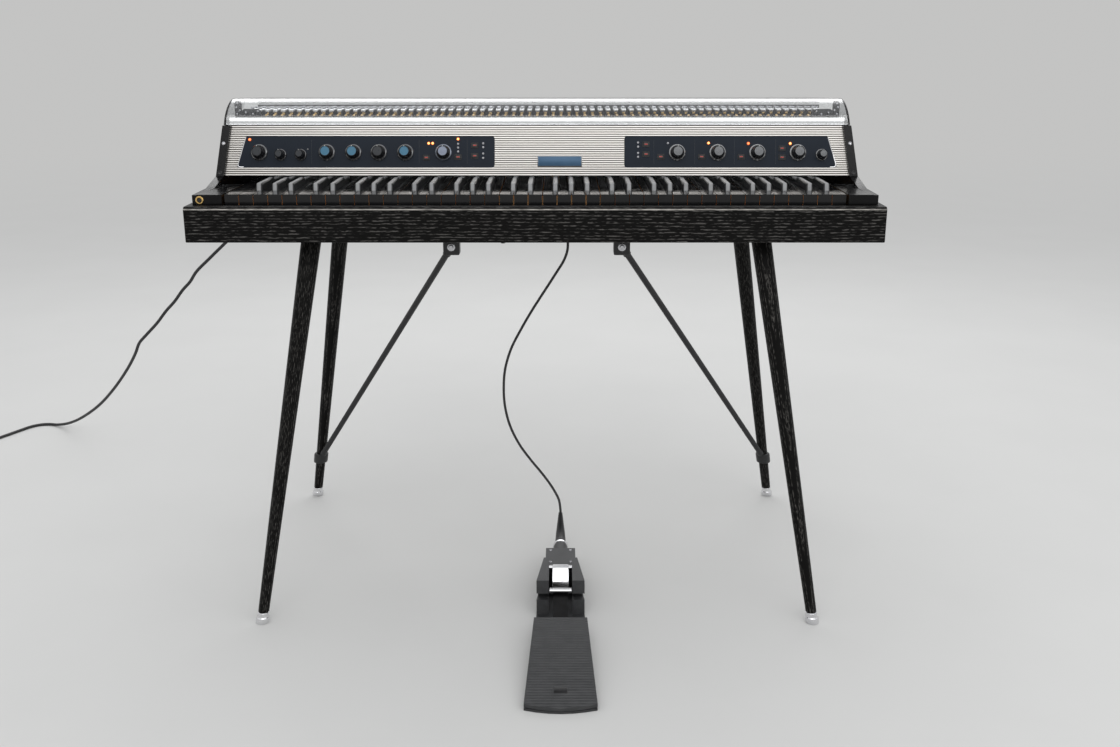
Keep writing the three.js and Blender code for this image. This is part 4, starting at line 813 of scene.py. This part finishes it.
# Solids that stay: look, rounding and its segments, then the nodes
DRESSED = [
    ("wood_x", 0.0016, 3, ["case_tray"]),
    ("wood_rail", 0.0016, 3, ["front_rail"]),
    ("side", 0.0012, 3, ["left_cheek", "right_cheek"]),
    ("ribs", 0, 0, ["name_rail"]),
    ("slate", 0, 0, ["control_panel_left", "control_panel_right"]),
    ("keybed", 0, 0, ["key_frame"]),
    ("steel", 0.001, 2, ["harp_frame"]),
    ("natural", 0.0006, 3, [*(f"key_{name}" for name in "cdefgab"), "other_naturals"]),
    ("sharp", 0.0024, 4, [*(f"key_{name}_sharp" for name in "cdfga"), "other_sharps"]),
    ("cast", 0.0014, 3, ["pedal_base"]),
    ("board", 0.0003, 2, ["pedal_board"]),
    ("plastic", 0.0005, 2, ["keypad_left", "keypad_right"]),
    ("chrome", 0.0008, 3, ["pedal_lever"]),
]
for material, rounding, segments, nodes in DRESSED:
    for node in nodes:
        dress(node, material, rounding, segments)


# Legs, feet and braces
LEG_SIDES = 40
LEG_CHAMFER = 0.001
CASE_HEIGHT = 0.074
case_under = key_top - CASE_HEIGHT
# Rows of a foot: height above the floor, and how far past the foot's radius or the leg's
FOOT_ROWS = mm((0, -1.2), (0.6, -0.3), (1.4, 0), (9.8, 0), (10.6, -0.4), (11.2, -1.4))
NECK_ROWS = mm((12.2, 0.4), (16.5, 0), (17, 0.8), (19.2, 0.8))


def end_ring(node, highest):
    """The middle and the radius of a node's lowest or highest ring."""
    points = [vert.co for vert in frame["nodes"][node].data.vertices]
    level = (max if highest else min)(point.z for point in points)
    ring = [point for point in points if abs(point.z - level) < TOUCH_GAP / 3]
    low = Vector(min(point[i] for point in ring) for i in range(3))
    high = Vector(max(point[i] for point in ring) for i in range(3))
    return (low + high) / 2, (high.x - low.x) / 2


def raked(bm, base, top, rows):
    """A turned form sheared along a leaning line, so that its rings stay level."""
    rings = []
    for height, radius in rows:
        centre = base.lerp(top, (height - base.z) / (top.z - base.z))
        rings.append(circle(centre, RIGHT, BACK, radius, LEG_SIDES))
    loft(bm, rings)


def leg_ends(place):
    """The middle and the radius of a leg's lower end, then of its upper end."""
    return *end_ring(f"leg_{place}", False), *end_ring(f"leg_{place}", True)


def leg(place):
    low, low_radius, high, high_radius = leg_ends(place)
    rows = [(low.z, low_radius - LEG_CHAMFER), (low.z + LEG_CHAMFER, low_radius)]
    for share in (0.25, 0.5, 0.75):
        radius = low_radius + (high_radius - low_radius) * share
        rows.append((low.z + (high.z - low.z) * share, radius))
    rows += [(high.z - LEG_CHAMFER, high_radius), (high.z, high_radius - LEG_CHAMFER / 2)]
    bm = bmesh.new()
    raked(bm, low, high, rows)
    lean = facing(low, high - low)
    name = f"leg_turned_{place}"
    piece(name, bm, "wood_leg", origin=lean, stands_for=f"leg_{place}")
    foot_low, foot_radius = end_ring(f"foot_{place}", False)
    rows = [(height, foot_radius + past) for height, past in FOOT_ROWS]
    rows += [(height, low_radius + past) for height, past in NECK_ROWS]
    rows.append((low.z - TOUCH_GAP, low_radius))
    bm = bmesh.new()
    raked(bm, foot_low, high, rows)
    piece(f"foot_turned_{place}", bm, "chrome", 50, stands_for=f"foot_{place}")


# A bolt's washer and head as shares of its radius and height
WASHER_SHARES = [(1.5, 0), (1.5, 0.2), (1.4, 0.25)]
HEAD_SHARES = [(1, 0.2), (1, 0.85), (0.8, 1), (0, 1)]


def bolt(bm, seat, way, radius, height):
    """A domed hexagon bolt on its washer, out of a seat."""
    place = facing(seat, way)
    for shares, sides in ((WASHER_SHARES, 24), (HEAD_SHARES, 6)):
        lathe(bm, [(radius * wide, height * tall) for wide, tall in shares], place, sides, 1)


BRACE_RADIUS = 0.0055
BRACE_SPREAD = 0.146
BRACE_SETBACK = 0.090
BRACE_DROP = 0.026
BRACE_FOOT = 0.095
BRACKET = Vector((0.028, 0.026, 0.040))
FLANGE_WIDTH = 0.010
FLANGE_THICKNESS = 0.003
# Bolts of the flange, of the rod's upper end and of its clamp: radius and height
FLANGE_BOLT, TOP_BOLT, CLAMP_BOLT = (0.0026, 0.0025), (0.0045, 0.005), (0.0036, 0.0045)
# The rod's radius, and how far along from its upper end or back from its lower one
ROD_START = mm((7.2, 8), (7.2, 24), (5.5, 26))
ROD_END = mm((5.5, -30), (6.8, -28), (6.8, 0))
# The clamp round the leg, in the brace's radius: height from its middle, and how far it stands out
CLAMP_ROWS = [(-2, 0.54), (-1.8, 0.81), (-1.5, 0.9), (1.5, 0.9), (1.8, 0.81), (2, 0.54)]


def brace(name, side):
    low, low_radius, high, high_radius = leg_ends(f"rear_{name}")
    taper = (high_radius - low_radius) / (high.z - low.z)
    end = low.lerp(high, (BRACE_FOOT - low.z) / (high.z - low.z))
    top = on_floor(side * BRACE_SPREAD, BRACE_SETBACK, case_under - BRACE_DROP)
    bm = bmesh.new()
    under = Vector((top.x, top.y, case_under - TOUCH_GAP))
    corner = under - UP * BRACKET.z / 2
    block(bm, corner - BRACKET / 2, corner + BRACKET / 2, 0.0025, segments=3)
    flange = Vector((BRACKET.x / 2 + FLANGE_WIDTH, BRACKET.y / 2, 0))
    block(bm, under - flange - UP * FLANGE_THICKNESS, under + flange, 0.0008)
    for way in (-1, 1):
        across = RIGHT * way * (BRACKET.x + FLANGE_WIDTH) / 2
        bolt(bm, under + across - UP * FLANGE_THICKNESS, -UP, *FLANGE_BOLT)
    bolt(bm, top - BACK * BRACKET.y / 2, -BACK, *TOP_BOLT)
    length = (end - top).length
    rod = ROD_START + [(radius, length + past) for radius, past in ROD_END]
    lathe(bm, rod, facing(top, end - top), 24)
    rows = []
    for rise, proud in CLAMP_ROWS:
        height = BRACE_FOOT + BRACE_RADIUS * rise
        rows.append((height, low_radius + taper * (height - low.z) + BRACE_RADIUS * proud))
    raked(bm, low, high, rows)
    outward = level_direction(top, end)
    reach = low_radius + BRACE_RADIUS + taper * BRACE_FOOT - 2 * TOUCH_GAP
    bolt(bm, end + outward * reach, outward, *CLAMP_BOLT)
    piece(f"brace_rod_{name}", bm, "steel screw", 40, stands_for=f"brace_{name}")


for name in ("front_left", "front_right", "rear_left", "rear_right"):
    leg(name)
brace("left", -1)
brace("right", 1)


# Hood
HOOD_WALL = 0.004
HOOD_STEPS = 24
SIDE_LEAN_SHARE = 0.14
SIDE_HALF = 0.555
HOOD_FRONT_REACH = 0.052
HOOD_BACK_RADIUS = 0.032
HOOD_DROP = 0.013
# How its edges are rounded: width, segments, and the least angle in degrees
HOOD_ROUNDING = (0.003, 4, 50)
hood_low, hood_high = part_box("hood")
hood_base = hood_low.z + HOOD_DROP


def side_half(height):
    """Half the width between the outer faces of the side walls at a height."""
    return SIDE_HALF - SIDE_LEAN_SHARE * max(0.0, height - key_top - PANEL_FOOT)


def hood():
    """Clear hood: one domed skin with leaning ends, given its thickness inwards."""
    rise = hood_high.z - hood_base
    front = Vector((0, hood_low.y + HOOD_FRONT_REACH, hood_base))
    back = Vector((0, hood_high.y - HOOD_BACK_RADIUS, hood_low.z))
    profile = []
    for middle, reach, steps in (
        (front, -HOOD_FRONT_REACH, range(HOOD_STEPS + 1)),
        (back, HOOD_BACK_RADIUS, range(HOOD_STEPS, -1, -1)),
    ):
        for i in steps:
            angle = pi / 2 * i / HOOD_STEPS
            profile.append(middle + Vector((0, reach * cos(angle), rise * sin(angle))))
    bm = bmesh.new()
    rows = [
        [bm.verts.new((side * side_half(p.z), p.y, p.z)) for p in profile]
        for side in (-1, 1)
    ]
    for i in range(len(profile) - 1):
        bm.faces.new((rows[0][i], rows[0][i + 1], rows[1][i + 1], rows[1][i]))
    for row in rows:
        bm.faces.new(row)
    made = piece("hood_clear", bm, "acrylic", 40, "hood", stands_for="hood")
    soften(made, *HOOD_ROUNDING)
    shell = made.modifiers.new("wall", "SOLIDIFY")
    shell.thickness = HOOD_WALL
    shell.offset = -1
    shell.use_even_offset = True


BAND_HEIGHT = 0.0115
BAND_THICKNESS = 0.0012
BAND_FOOT = 0.0008
BAND_STEPS = 6


def hood_band():
    """Polished strip along the inside of the hood's front edge."""
    rise = hood_high.z - hood_base - HOOD_WALL - TOUCH_GAP
    reach = HOOD_FRONT_REACH - HOOD_WALL - TOUCH_GAP
    middle = hood_low.y + HOOD_FRONT_REACH
    low, high = asin(BAND_FOOT / rise), asin(BAND_HEIGHT / rise)
    section = []
    for inset, order in ((0, 1), (BAND_THICKNESS, -1)):
        arc = []
        for i in range(BAND_STEPS + 1):
            angle = low + (high - low) * i / BAND_STEPS
            y = middle - (reach - inset) * cos(angle)
            arc.append((y, hood_base + (rise - inset) * sin(angle)))
        section += arc[::order]
    half = side_half(hood_high.z) - HOOD_WALL - 2 * TOUCH_GAP
    bm = bmesh.new()
    loft(bm, [[Vector((x, y, z)) for y, z in section] for x in (-half, 0, half)])
    piece("hood_strip", bm, "strip", 50, "hood")


hood()
hood_band()


# Tone bars, their rail, screws and springs, and the pickups below their front ends
BAR_COUNT = 73
BAR_SPAN_SHARE = 0.98
BAR_WIDTH_SHARE = 0.62
BAR_THICKNESS = 0.006
BAR_SHORT, BAR_LONG = 0.070, 0.120
BAR_SCREWS = (0.012, 0.040)
RAIL_DEPTH = 0.014
RAIL_RISE = 0.009
BAR_TILT = radians(2.5)
NECK_SETBACK, NECK_LENGTH, NECK_DEPTH = 0.002, 0.012, 0.007
NECK_WIDTH_SHARE = 0.6
# A screw's radius and height, and the height of the spring under it
SCREW_SIZE = (0.0034, 0.0016)
SPRING_HEIGHT = 0.0018
SPRING_ROWS = [(0.0034 - 0.0008 * (k % 2), 0.0005 * k) for k in range(5)]
SCREW_SHARES = [(1, 0), (1, 0.25), (0.85, 0.7), (0.5, 1), (0.4, 0.6), (0, 0.5)]
PICKUP_BACK = 0.0075
PICKUP_ROWS = mm(
    (4.6, 0, 1), (4.6, 1.6, 1), (3.6, 1.8), (3.8, 6), (3.6, 11.5, 1), (4.6, 11.7, 1), (4.6, 15, 1),
    (2.7, 15.1, 2), (2.6, 16.8, 2), (1.6, 18, 2), (0, 18.3),
)
bars_low, bars_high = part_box("tone_bars")
rail_front = bars_high.y - RAIL_DEPTH
harp_low, harp_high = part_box("harp_frame")


def bar_places():
    """Each bar's middle x, front y and width, from the lowest note up."""
    half = bars_high.x * BAR_SPAN_SHARE
    pitch = 2 * half / BAR_COUNT
    for i in range(BAR_COUNT):
        share = i / (BAR_COUNT - 1)
        front = max(bars_low.y, rail_front - BAR_LONG - (BAR_SHORT - BAR_LONG) * share)
        yield (i + 0.5) * pitch - half, front, pitch * BAR_WIDTH_SHARE


def screw(bm, place, radius, height, index=0):
    """A domed screw head with a recess."""
    rows = [(radius * wide, height * tall) for wide, tall in SCREW_SHARES]
    lathe(bm, rows, place, 20, index)


def tone_bars():
    """The tilted bars on their dark rail, each with a brass neck and two screws on springs."""
    bars = bmesh.new()
    rail_low = (bars_low.x, rail_front, bars_low.z)
    block(bars, rail_low, (bars_high.x, bars_high.y, bars_high.z + RAIL_RISE), 0.001, index=1)
    for x, front, width in bar_places():
        place = moved((x, front, bars_high.z)) @ Matrix.Rotation(BAR_TILT, 4, "X")
        half, length = width / 2, rail_front + RAIL_DEPTH / 2 - front
        block(bars, (-half, 0, -BAR_THICKNESS), (half, length, 0), 0.0012, place, 0, 3)
        wide = width * NECK_WIDTH_SHARE
        neck = Vector((-wide / 2, NECK_SETBACK, -BAR_THICKNESS - NECK_DEPTH))
        size = Vector((wide, NECK_LENGTH, NECK_DEPTH + 0.001))
        block(bars, neck, neck + size, 0.0008, place, 2)
        for past in BAR_SCREWS:
            seat = place @ moved((0, past, 0))
            lathe(bars, SPRING_ROWS, seat, 14, 3)
            screw(bars, seat @ moved((0, 0, SPRING_HEIGHT)), *SCREW_SIZE, 3)
    piece(
        "tone_bars_polished", bars, "tone steel brass screw", stands_for="tone_bars",
    )


def pickups():
    """Small wound pickups along the harp's front rail, one for each bar."""
    bm = bmesh.new()
    for x, _, _ in bar_places():
        place = moved((x, harp_low.y + PICKUP_BACK, harp_high.z))
        lathe(bm, PICKUP_ROWS, place, 16)
    piece("pickups", bm, "copper plastic brass")


# The harp's end brackets: outlines, and places of their screws, as x and up from the frame
END_OUTLINES = [
    mm((517, 0), (529.2, 0), (529, 36), (526, 39), (520, 39), (517, 36)),
    mm((484, 0), (517, 0), (517, 24), (513, 27), (488, 27), (484, 24)),
]
END_SCREWS = mm(
    (524, 35.5), (526, 29.5), (520.5, 24.5), (525, 18.5), (510, 21), (498, 18.5), (489, 23)
)
END_BACK = 0.003
END_THICKNESS = 0.002
END_SCREW_SIZE = (0.0021, 0.0014)


def harp_ends():
    """Dark brackets at the harp's front corners, with bright screws."""
    bm = bmesh.new()
    y = harp_low.y + END_BACK
    for side in (-1, 1):
        for outline in END_OUTLINES:
            faces = [
                [Vector((side * x, y + depth, harp_high.z + up)) for x, up in outline]
                for depth in (0, END_THICKNESS)
            ]
            loft(bm, faces, 1)
        for x, up in END_SCREWS:
            head = Vector((side * x, y, harp_high.z + up))
            screw(bm, facing(head, -BACK), *END_SCREW_SIZE)
    piece("harp_end_brackets", bm, "screw steel", 40)


tone_bars()
pickups()
harp_ends()


# Controls
KNOB_SIDES = 48
KNOB_HEIGHT = 0.019
KNOB_SKIRT, KNOB_BODY, KNOB_CAP = 0.0144, 0.0088, 0.0076
KNOB_SCALE_SMALL = 0.72
KNOB_RIM = 0.86
KNOB_SPINDLE = 0.003
FLARE_HEIGHT = 0.008
FLARE_STEPS = 9
BLUE_KNOBS = ("knob_tone_1", "knob_tone_2", "knob_tone_4")
SMALL_KNOBS = ("knob_trim_low", "knob_trim_high", "knob_balance")


def knob(node):
    """A turned knob: metal ring, flared body, rounded rim, and an inlaid cap with a line."""
    scale = KNOB_SCALE_SMALL if node in SMALL_KNOBS else 1.0
    centre = Vector(joints[node]["pos_m"])
    place = moved(centre) @ panel.to_3x3().to_4x4()
    foot = PLATE_PROUD + TOUCH_GAP
    top = foot + KNOB_HEIGHT
    skirt, body, cap = KNOB_SKIRT * scale, KNOB_BODY * scale, KNOB_CAP * scale
    rim, waist = skirt * KNOB_RIM, body * 1.06
    profile = [
        (KNOB_SPINDLE, -0.0023, 1), (KNOB_SPINDLE, foot, 1), (skirt * 0.97, foot, 1),
        (skirt, foot + 0.0004, 1), (skirt, foot + 0.0009, 1), (skirt * 0.97, foot + 0.0015, 1),
        (rim, foot + 0.0026),
    ]
    for i in range(1, FLARE_STEPS):
        angle = pi / 2 * i / FLARE_STEPS
        rise = FLARE_HEIGHT * (1 - cos(angle))
        profile.append((waist + (rim - waist) * (1 - sin(angle)), foot + 0.0026 + rise))
    profile += [
        (body * 1.03, top - 0.0022), (body * 0.99, top - 0.0008), (body * 0.93, top),
        (cap + 0.0003, top - 0.0002), (cap, top - 0.0012, 2), (cap * 0.5, top - 0.0012, 2),
        (0, top - 0.0011),
    ]
    bm = bmesh.new()
    lathe(bm, profile, place, KNOB_SIDES)
    low, high = (-0.00045, body * 0.86, top - 0.0012), (0.00045, body * 1.04, top + 0.0003)
    block(bm, low, high, 0.0002, place, 3)
    if node == "knob_vibrato":
        metals = "silver silver_cap"
    elif centre.x > 0:
        metals = "ring cap"
    else:
        metals = "polished blue" if node in BLUE_KNOBS else "polished grey"
    piece(f"{node}_turned", bm, f"knob {metals} white", 30, node, place, node)


for name in frame["nodes"]:
    if name.startswith("knob_"):
        knob(name)

# Places on the two control plates, as shares across from the inner end and up from the lower edge
PLATE_FOOT = 0.014
PLATE_HEIGHT = 0.054
PLATE_ENDS = {"left": (-0.0734, -0.5201), "right": (0.1516, 0.5201)}
LIT_SHARES = {
    "left": [
        (0.949, 0.891, "red_lamp"), (0.2552, 0.772, "amber_lamp"), (0.2398, 0.772, "amber_lamp"),
        (0.1413, 0.909, "amber_lamp"),
    ],
    "right": [
        (0.3951, 0.781, "amber_lamp"), (0.5824, 0.767, "red_lamp"), (0.7791, 0.767, "amber_lamp"),
    ],
}
DARK_SHARES = {
    "left": [
        (0.1413, 0.757), (0.1413, 0.635), (0.1413, 0.513), (0.0441, 0.772), (0.0441, 0.65),
        (0.0441, 0.446), (0.0441, 0.306),
    ],
    "right": [(0.2046, 0.781), (0.0641, 0.798), (0.0641, 0.667), (0.0641, 0.465), (0.0641, 0.341)],
}
CAP_SHARES = {
    "left": [(0.2644, 0.3148), (0.1413, 0.3333), (0.0768, 0.7037), (0.0768, 0.3704)],
    "right": [
        (0.1015, 0.7407), (0.1015, 0.4259), (0.1707, 0.3426), (0.3628, 0.3426), (0.5487, 0.3426),
        (0.7406, 0.6111), (0.7406, 0.3241),
    ],
}
DIVIDER_SHARES = {"left": [0.7094, 0.2926, 0.1059], "right": [0.1384, 0.3303, 0.5167, 0.711]}
DOT_SHARES = {"left": (0.724, 0.589), "right": (0.906, 0.313)}
# The bright line along a plate's slanted end: how far in from it, and the share up
PLATE_SLANT = 0.016
PLATE_TRIM = [
    (0.0008, 0.96), (0.0008, 0.14), (0.001, 0.08), (0.0022, 0.045), (0.0045, 0.02), (0.0075, 0.015),
    (0.012, 0.015),
]
LIT_ROWS = mm((2.8, 0, 1), (2.7, 0.5, 1), (1.9, 0.8), (1.4, 1.6), (0, 1.9))
DARK_ROWS = mm((1.9, 0), (1.7, 0.6), (0, 1))
DOT_ROWS = mm((0.8, 0, 1), (0.7, 0.4, 1), (0, 0.6))
DIVIDER_HALF = (0.0002, 0.021)
# A keypad cap's frame: its inner and outer half sizes. The window stands in it, past the plate
FRAME_INNER, FRAME_OUTER = (0.0048, 0.0033), (0.0062, 0.0047)
WINDOW_HALF = (0.0028, 0.001)
WINDOW_PROUD = 0.0018


def plate_place(side, across, up):
    """A place on a control plate's face, from its shares across and up."""
    inner, outer = PLATE_ENDS[side]
    local = (inner + (outer - inner) * across, PLATE_FOOT + PLATE_HEIGHT * up, PLATE_PROUD)
    return panel @ moved(local)


def slab(bm, half, height, rounding, place):
    """A thin block round a place, from its half sizes and its height."""
    block(bm, (-half[0], -half[1], 0), (*half, height), rounding, place)


def plate_lamps(side):
    for i, (across, up, look) in enumerate(LIT_SHARES[side]):
        bm = bmesh.new()
        lathe(bm, LIT_ROWS, plate_place(side, across, up), 20)
        piece(f"lamp_{side}_{i}", bm, f"{look} lamp_rim")
    bm = bmesh.new()
    for across, up in DARK_SHARES[side]:
        lathe(bm, DARK_ROWS, plate_place(side, across, up), 16)
    piece(f"dark_lamps_{side}", bm, "dim")


def plate_lines(side, way):
    """Thin lines that divide the plate, a dot, and a bright line along its slanted end."""
    bm = bmesh.new()
    for across in DIVIDER_SHARES[side]:
        slab(bm, DIVIDER_HALF, 0.00015, 0, plate_place(side, across, 0.5))
    lathe(bm, DOT_ROWS, plate_place(side, *DOT_SHARES[side]), 12)
    trim = []
    for inwards, up in PLATE_TRIM:
        past = Vector((-way * (PLATE_SLANT * up + inwards), 0, 0))
        trim.append(plate_place(side, 1, up) @ past)
    wire(bm, trim, 0.0009, 2)
    piece(f"plate_lines_{side}", bm, "grey white chrome")


def cap_frames(side):
    """A frame round each keypad cap."""
    bm = bmesh.new()
    (in_x, in_y), (out_x, out_y) = FRAME_INNER, FRAME_OUTER
    bars = (
        (-out_x, in_y, out_x, out_y), (-out_x, -out_y, out_x, -in_y),
        (-out_x, -in_y, -in_x, in_y), (in_x, -in_y, out_x, in_y),
    )
    for across, up in CAP_SHARES[side]:
        for left, low, right, high in bars:
            place = plate_place(side, across, up)
            block(bm, (left, low, 0), (right, high, 0.001), 0.0003, place, 0, 1)
    piece(f"cap_frames_{side}", bm, "plastic")


def cap_lights(side):
    """A small lit window in each keypad cap."""
    bm = bmesh.new()
    past = moved((0, 0, WINDOW_PROUD - PLATE_PROUD))
    for across, up in CAP_SHARES[side]:
        slab(bm, WINDOW_HALF, 0.0007, 0.0003, plate_place(side, across, up) @ past)
    piece(f"cap_lights_{side}", bm, "cap_red", body=f"keypad_{side}")


for side, way in (("left", -1), ("right", 1)):
    plate_lamps(side)
    plate_lines(side, way)
    cap_frames(side)
    cap_lights(side)


BADGE_LOW, BADGE_HIGH = (0.001, 0.0156), (0.078, 0.0341)
BADGE_PROUD = 0.0012
BADGE_BORDER = 0.0012


def badge():
    """A bare blue plate on the ribbed panel, with a thin border."""
    bm = bmesh.new()
    low, high = (*BADGE_LOW, -PLATE_PROUD), (*BADGE_HIGH, BADGE_PROUD)
    block(bm, low, high, 0.0006, panel, 1, 3)
    inset = Vector((BADGE_BORDER, BADGE_BORDER, 0))
    low = Vector((*BADGE_LOW, BADGE_PROUD - 0.0002)) + inset
    block(bm, low, Vector((*BADGE_HIGH, BADGE_PROUD + 0.0003)) - inset, 0.0002, panel)
    piece("badge_plate", bm, "badge polished")


badge()


# Small parts of the case and the pedal
# A screw's place and a ring's place on a side wall's front, as x and up
WALL_PLACES = [(0.541, 0.0545), (0.5475, 0.004)]
SOCKET = (-0.543, -0.0080, -0.0082)
WALL_RING_ROWS = mm((3.6, 0), (3.6, 0.7), (2.8, 1), (2, 0.4), (0, 0.3))
SOCKET_ROWS = mm(
    (6.6, 0, 2), (6.6, 1.2, 2), (5.8, 1.9, 2), (4.2, 1.9, 2), (3.6, 1.2, 1), (3.4, 0.2, 1), (0, 0.2)
)
WING_NUT_X, WING_NUT_BACK, WING_DROP = -0.058, 0.09, 0.017
WING_NUT_ROWS = mm(
    (9, 0), (9, 1.6), (4.5, 1.8), (4.5, 14), (5.2, 15), (5.2, 19), (3.5, 21), (0, 21)
)
WING_EAR = mm((3, 0), (7, -2), (10.5, -5))


def case_screws():
    """Screws and rings in the side walls' fronts, and the headphone socket."""
    bm = bmesh.new()
    for side in (-1, 1):
        seat, ring = (panel @ moved((side * x, up, WALL_PROUD)) for x, up in WALL_PLACES)
        screw(bm, seat, *SCREW_SIZE)
        lathe(bm, WALL_RING_ROWS, ring, 24, 1)
    lathe(bm, SOCKET_ROWS, facing(at(*SOCKET), -BACK), 32)
    piece("case_screws", bm, "screw plastic gold", 40)


def wing_nut():
    """A wing nut under the case."""
    bm = bmesh.new()
    foot = Vector((WING_NUT_X, key_front + WING_NUT_BACK, case_under - TOUCH_GAP))
    lathe(bm, WING_NUT_ROWS, facing(foot, -UP), 28)
    for side in (-1, 1):
        ear = [foot - UP * WING_DROP + RIGHT * side * out - UP * down for out, down in WING_EAR]
        wire(bm, ear, 0.0026, 0, 12)
    piece("wing_nut", bm, "steel", 40)


BOARD_SLOPE = atan(0.1295)
BOARD_PLATE = on_floor(PEDAL_X, -0.287, 0.0158)
BOARD_PLATE_HALF = (0.0105, 0.008)
BOARD_PLATE_BORDER = 0.0012


def footboard_plate():
    """A bare dark plate let into the footboard near its heel."""
    bm = bmesh.new()
    place = moved(BOARD_PLATE) @ Matrix.Rotation(BOARD_SLOPE, 4, "X")
    for inset, low, high, rounding, index in (
        (0, -0.0008, 0.0007, 0.0005, 0), (BOARD_PLATE_BORDER, 0.0006, 0.0009, 0.0001, 1),
    ):
        x, y = (half - inset for half in BOARD_PLATE_HALF)
        block(bm, (-x, -y, low), (x, y, high), rounding, place, index)
    piece("footboard_plate", bm, "plastic steel", body="pedal_board")


HOUSING_HEIGHT = 0.050
HOUSING_SCREW_SIZE = (0.003, 0.0014)
HOUSING_SCREWS = [(x, back) for x in (-0.019, 0.019) for back in (0.104, 0.155)]


def housing_screws():
    """Screws in the top of the pedal's housing."""
    bm = bmesh.new()
    for x, back in HOUSING_SCREWS:
        place = moved(on_floor(PEDAL_X + x, back, HOUSING_HEIGHT))
        screw(bm, place, *HOUSING_SCREW_SIZE)
    piece("housing_screws", bm, "screw")


case_screws()
wing_nut()
footboard_plate()
housing_screws()

# Floor, room and light
FLOOR_HALF = 60.0
FADE_START, FADE_END = 2.5, 9
HORIZON = (0.55, 0.55, 0.545)
OVERHEAD = (0.95, 0.96, 0.98)
SKY_FOOT = 0.05
LAMP_AIM = Vector((0, 0, 0.7))


def floor_look():
    """A pale floor that fades into the horizon's tone far from the object."""
    look = Look("pale_floor", {"Roughness": 0.9, "Specular IOR Level": 0.1})
    colour = look.blend(look.noise(3, 5), (0.62, 0.62, 0.61), (0.66, 0.66, 0.65))
    look.fill(look.shader, {"Base Color": colour})
    far = look.node("VectorMath", {0: look.place()}, "Value", operation="LENGTH")
    fade = look.spread(far, FADE_START, FADE_END)
    look.give_way(fade, look.node("Emission", {"Color": HORIZON}))
    return look.data


def floor():
    mesh = bpy.data.meshes.new("floor")
    corners = ((-1, -1), (1, -1), (1, 1), (-1, 1))
    mesh.from_pydata([(FLOOR_HALF * x, FLOOR_HALF * y, 0) for x, y in corners], [], [range(4)])
    mesh.materials.append(floor_look())
    show("floor", mesh)


def lamp(name, place, size, power):
    """A soft rectangular lamp that shines on the middle of the keyboard."""
    data = bpy.data.lights.new(name, "AREA")
    data.shape = "RECTANGLE"
    data.size, data.size_y = size
    data.energy = power
    made = show(name, data)
    made.location = place
    made.rotation_euler = (LAMP_AIM - Vector(place)).to_track_quat("-Z", "Y").to_euler()


def room():
    """A pale room: the horizon's tone all round, brighter overhead."""
    world = bpy.data.worlds.new("studio")
    bpy.context.scene.world = world
    world.use_nodes = True
    sky = Nodes(world.node_tree)
    height = sky.spread(sky.part("Z", "Generated"), SKY_FOOT, 1)
    colour = sky.blend(height, HORIZON, OVERHEAD)
    sky.fill(world.node_tree.nodes["Background"], {"Color": colour})


floor()
lamp("key_light", (0.04, -2.8, 2.9), (3.2, 1.8), 34)
lamp("fill_light", (2.2, -2.2, 2.0), (1.4, 1.4), 9)
lamp("back_light", (0.1, 2.4, 2.7), (3.4, 1.8), 30)
room()
bpy.context.scene.view_settings.view_transform = "Standard"
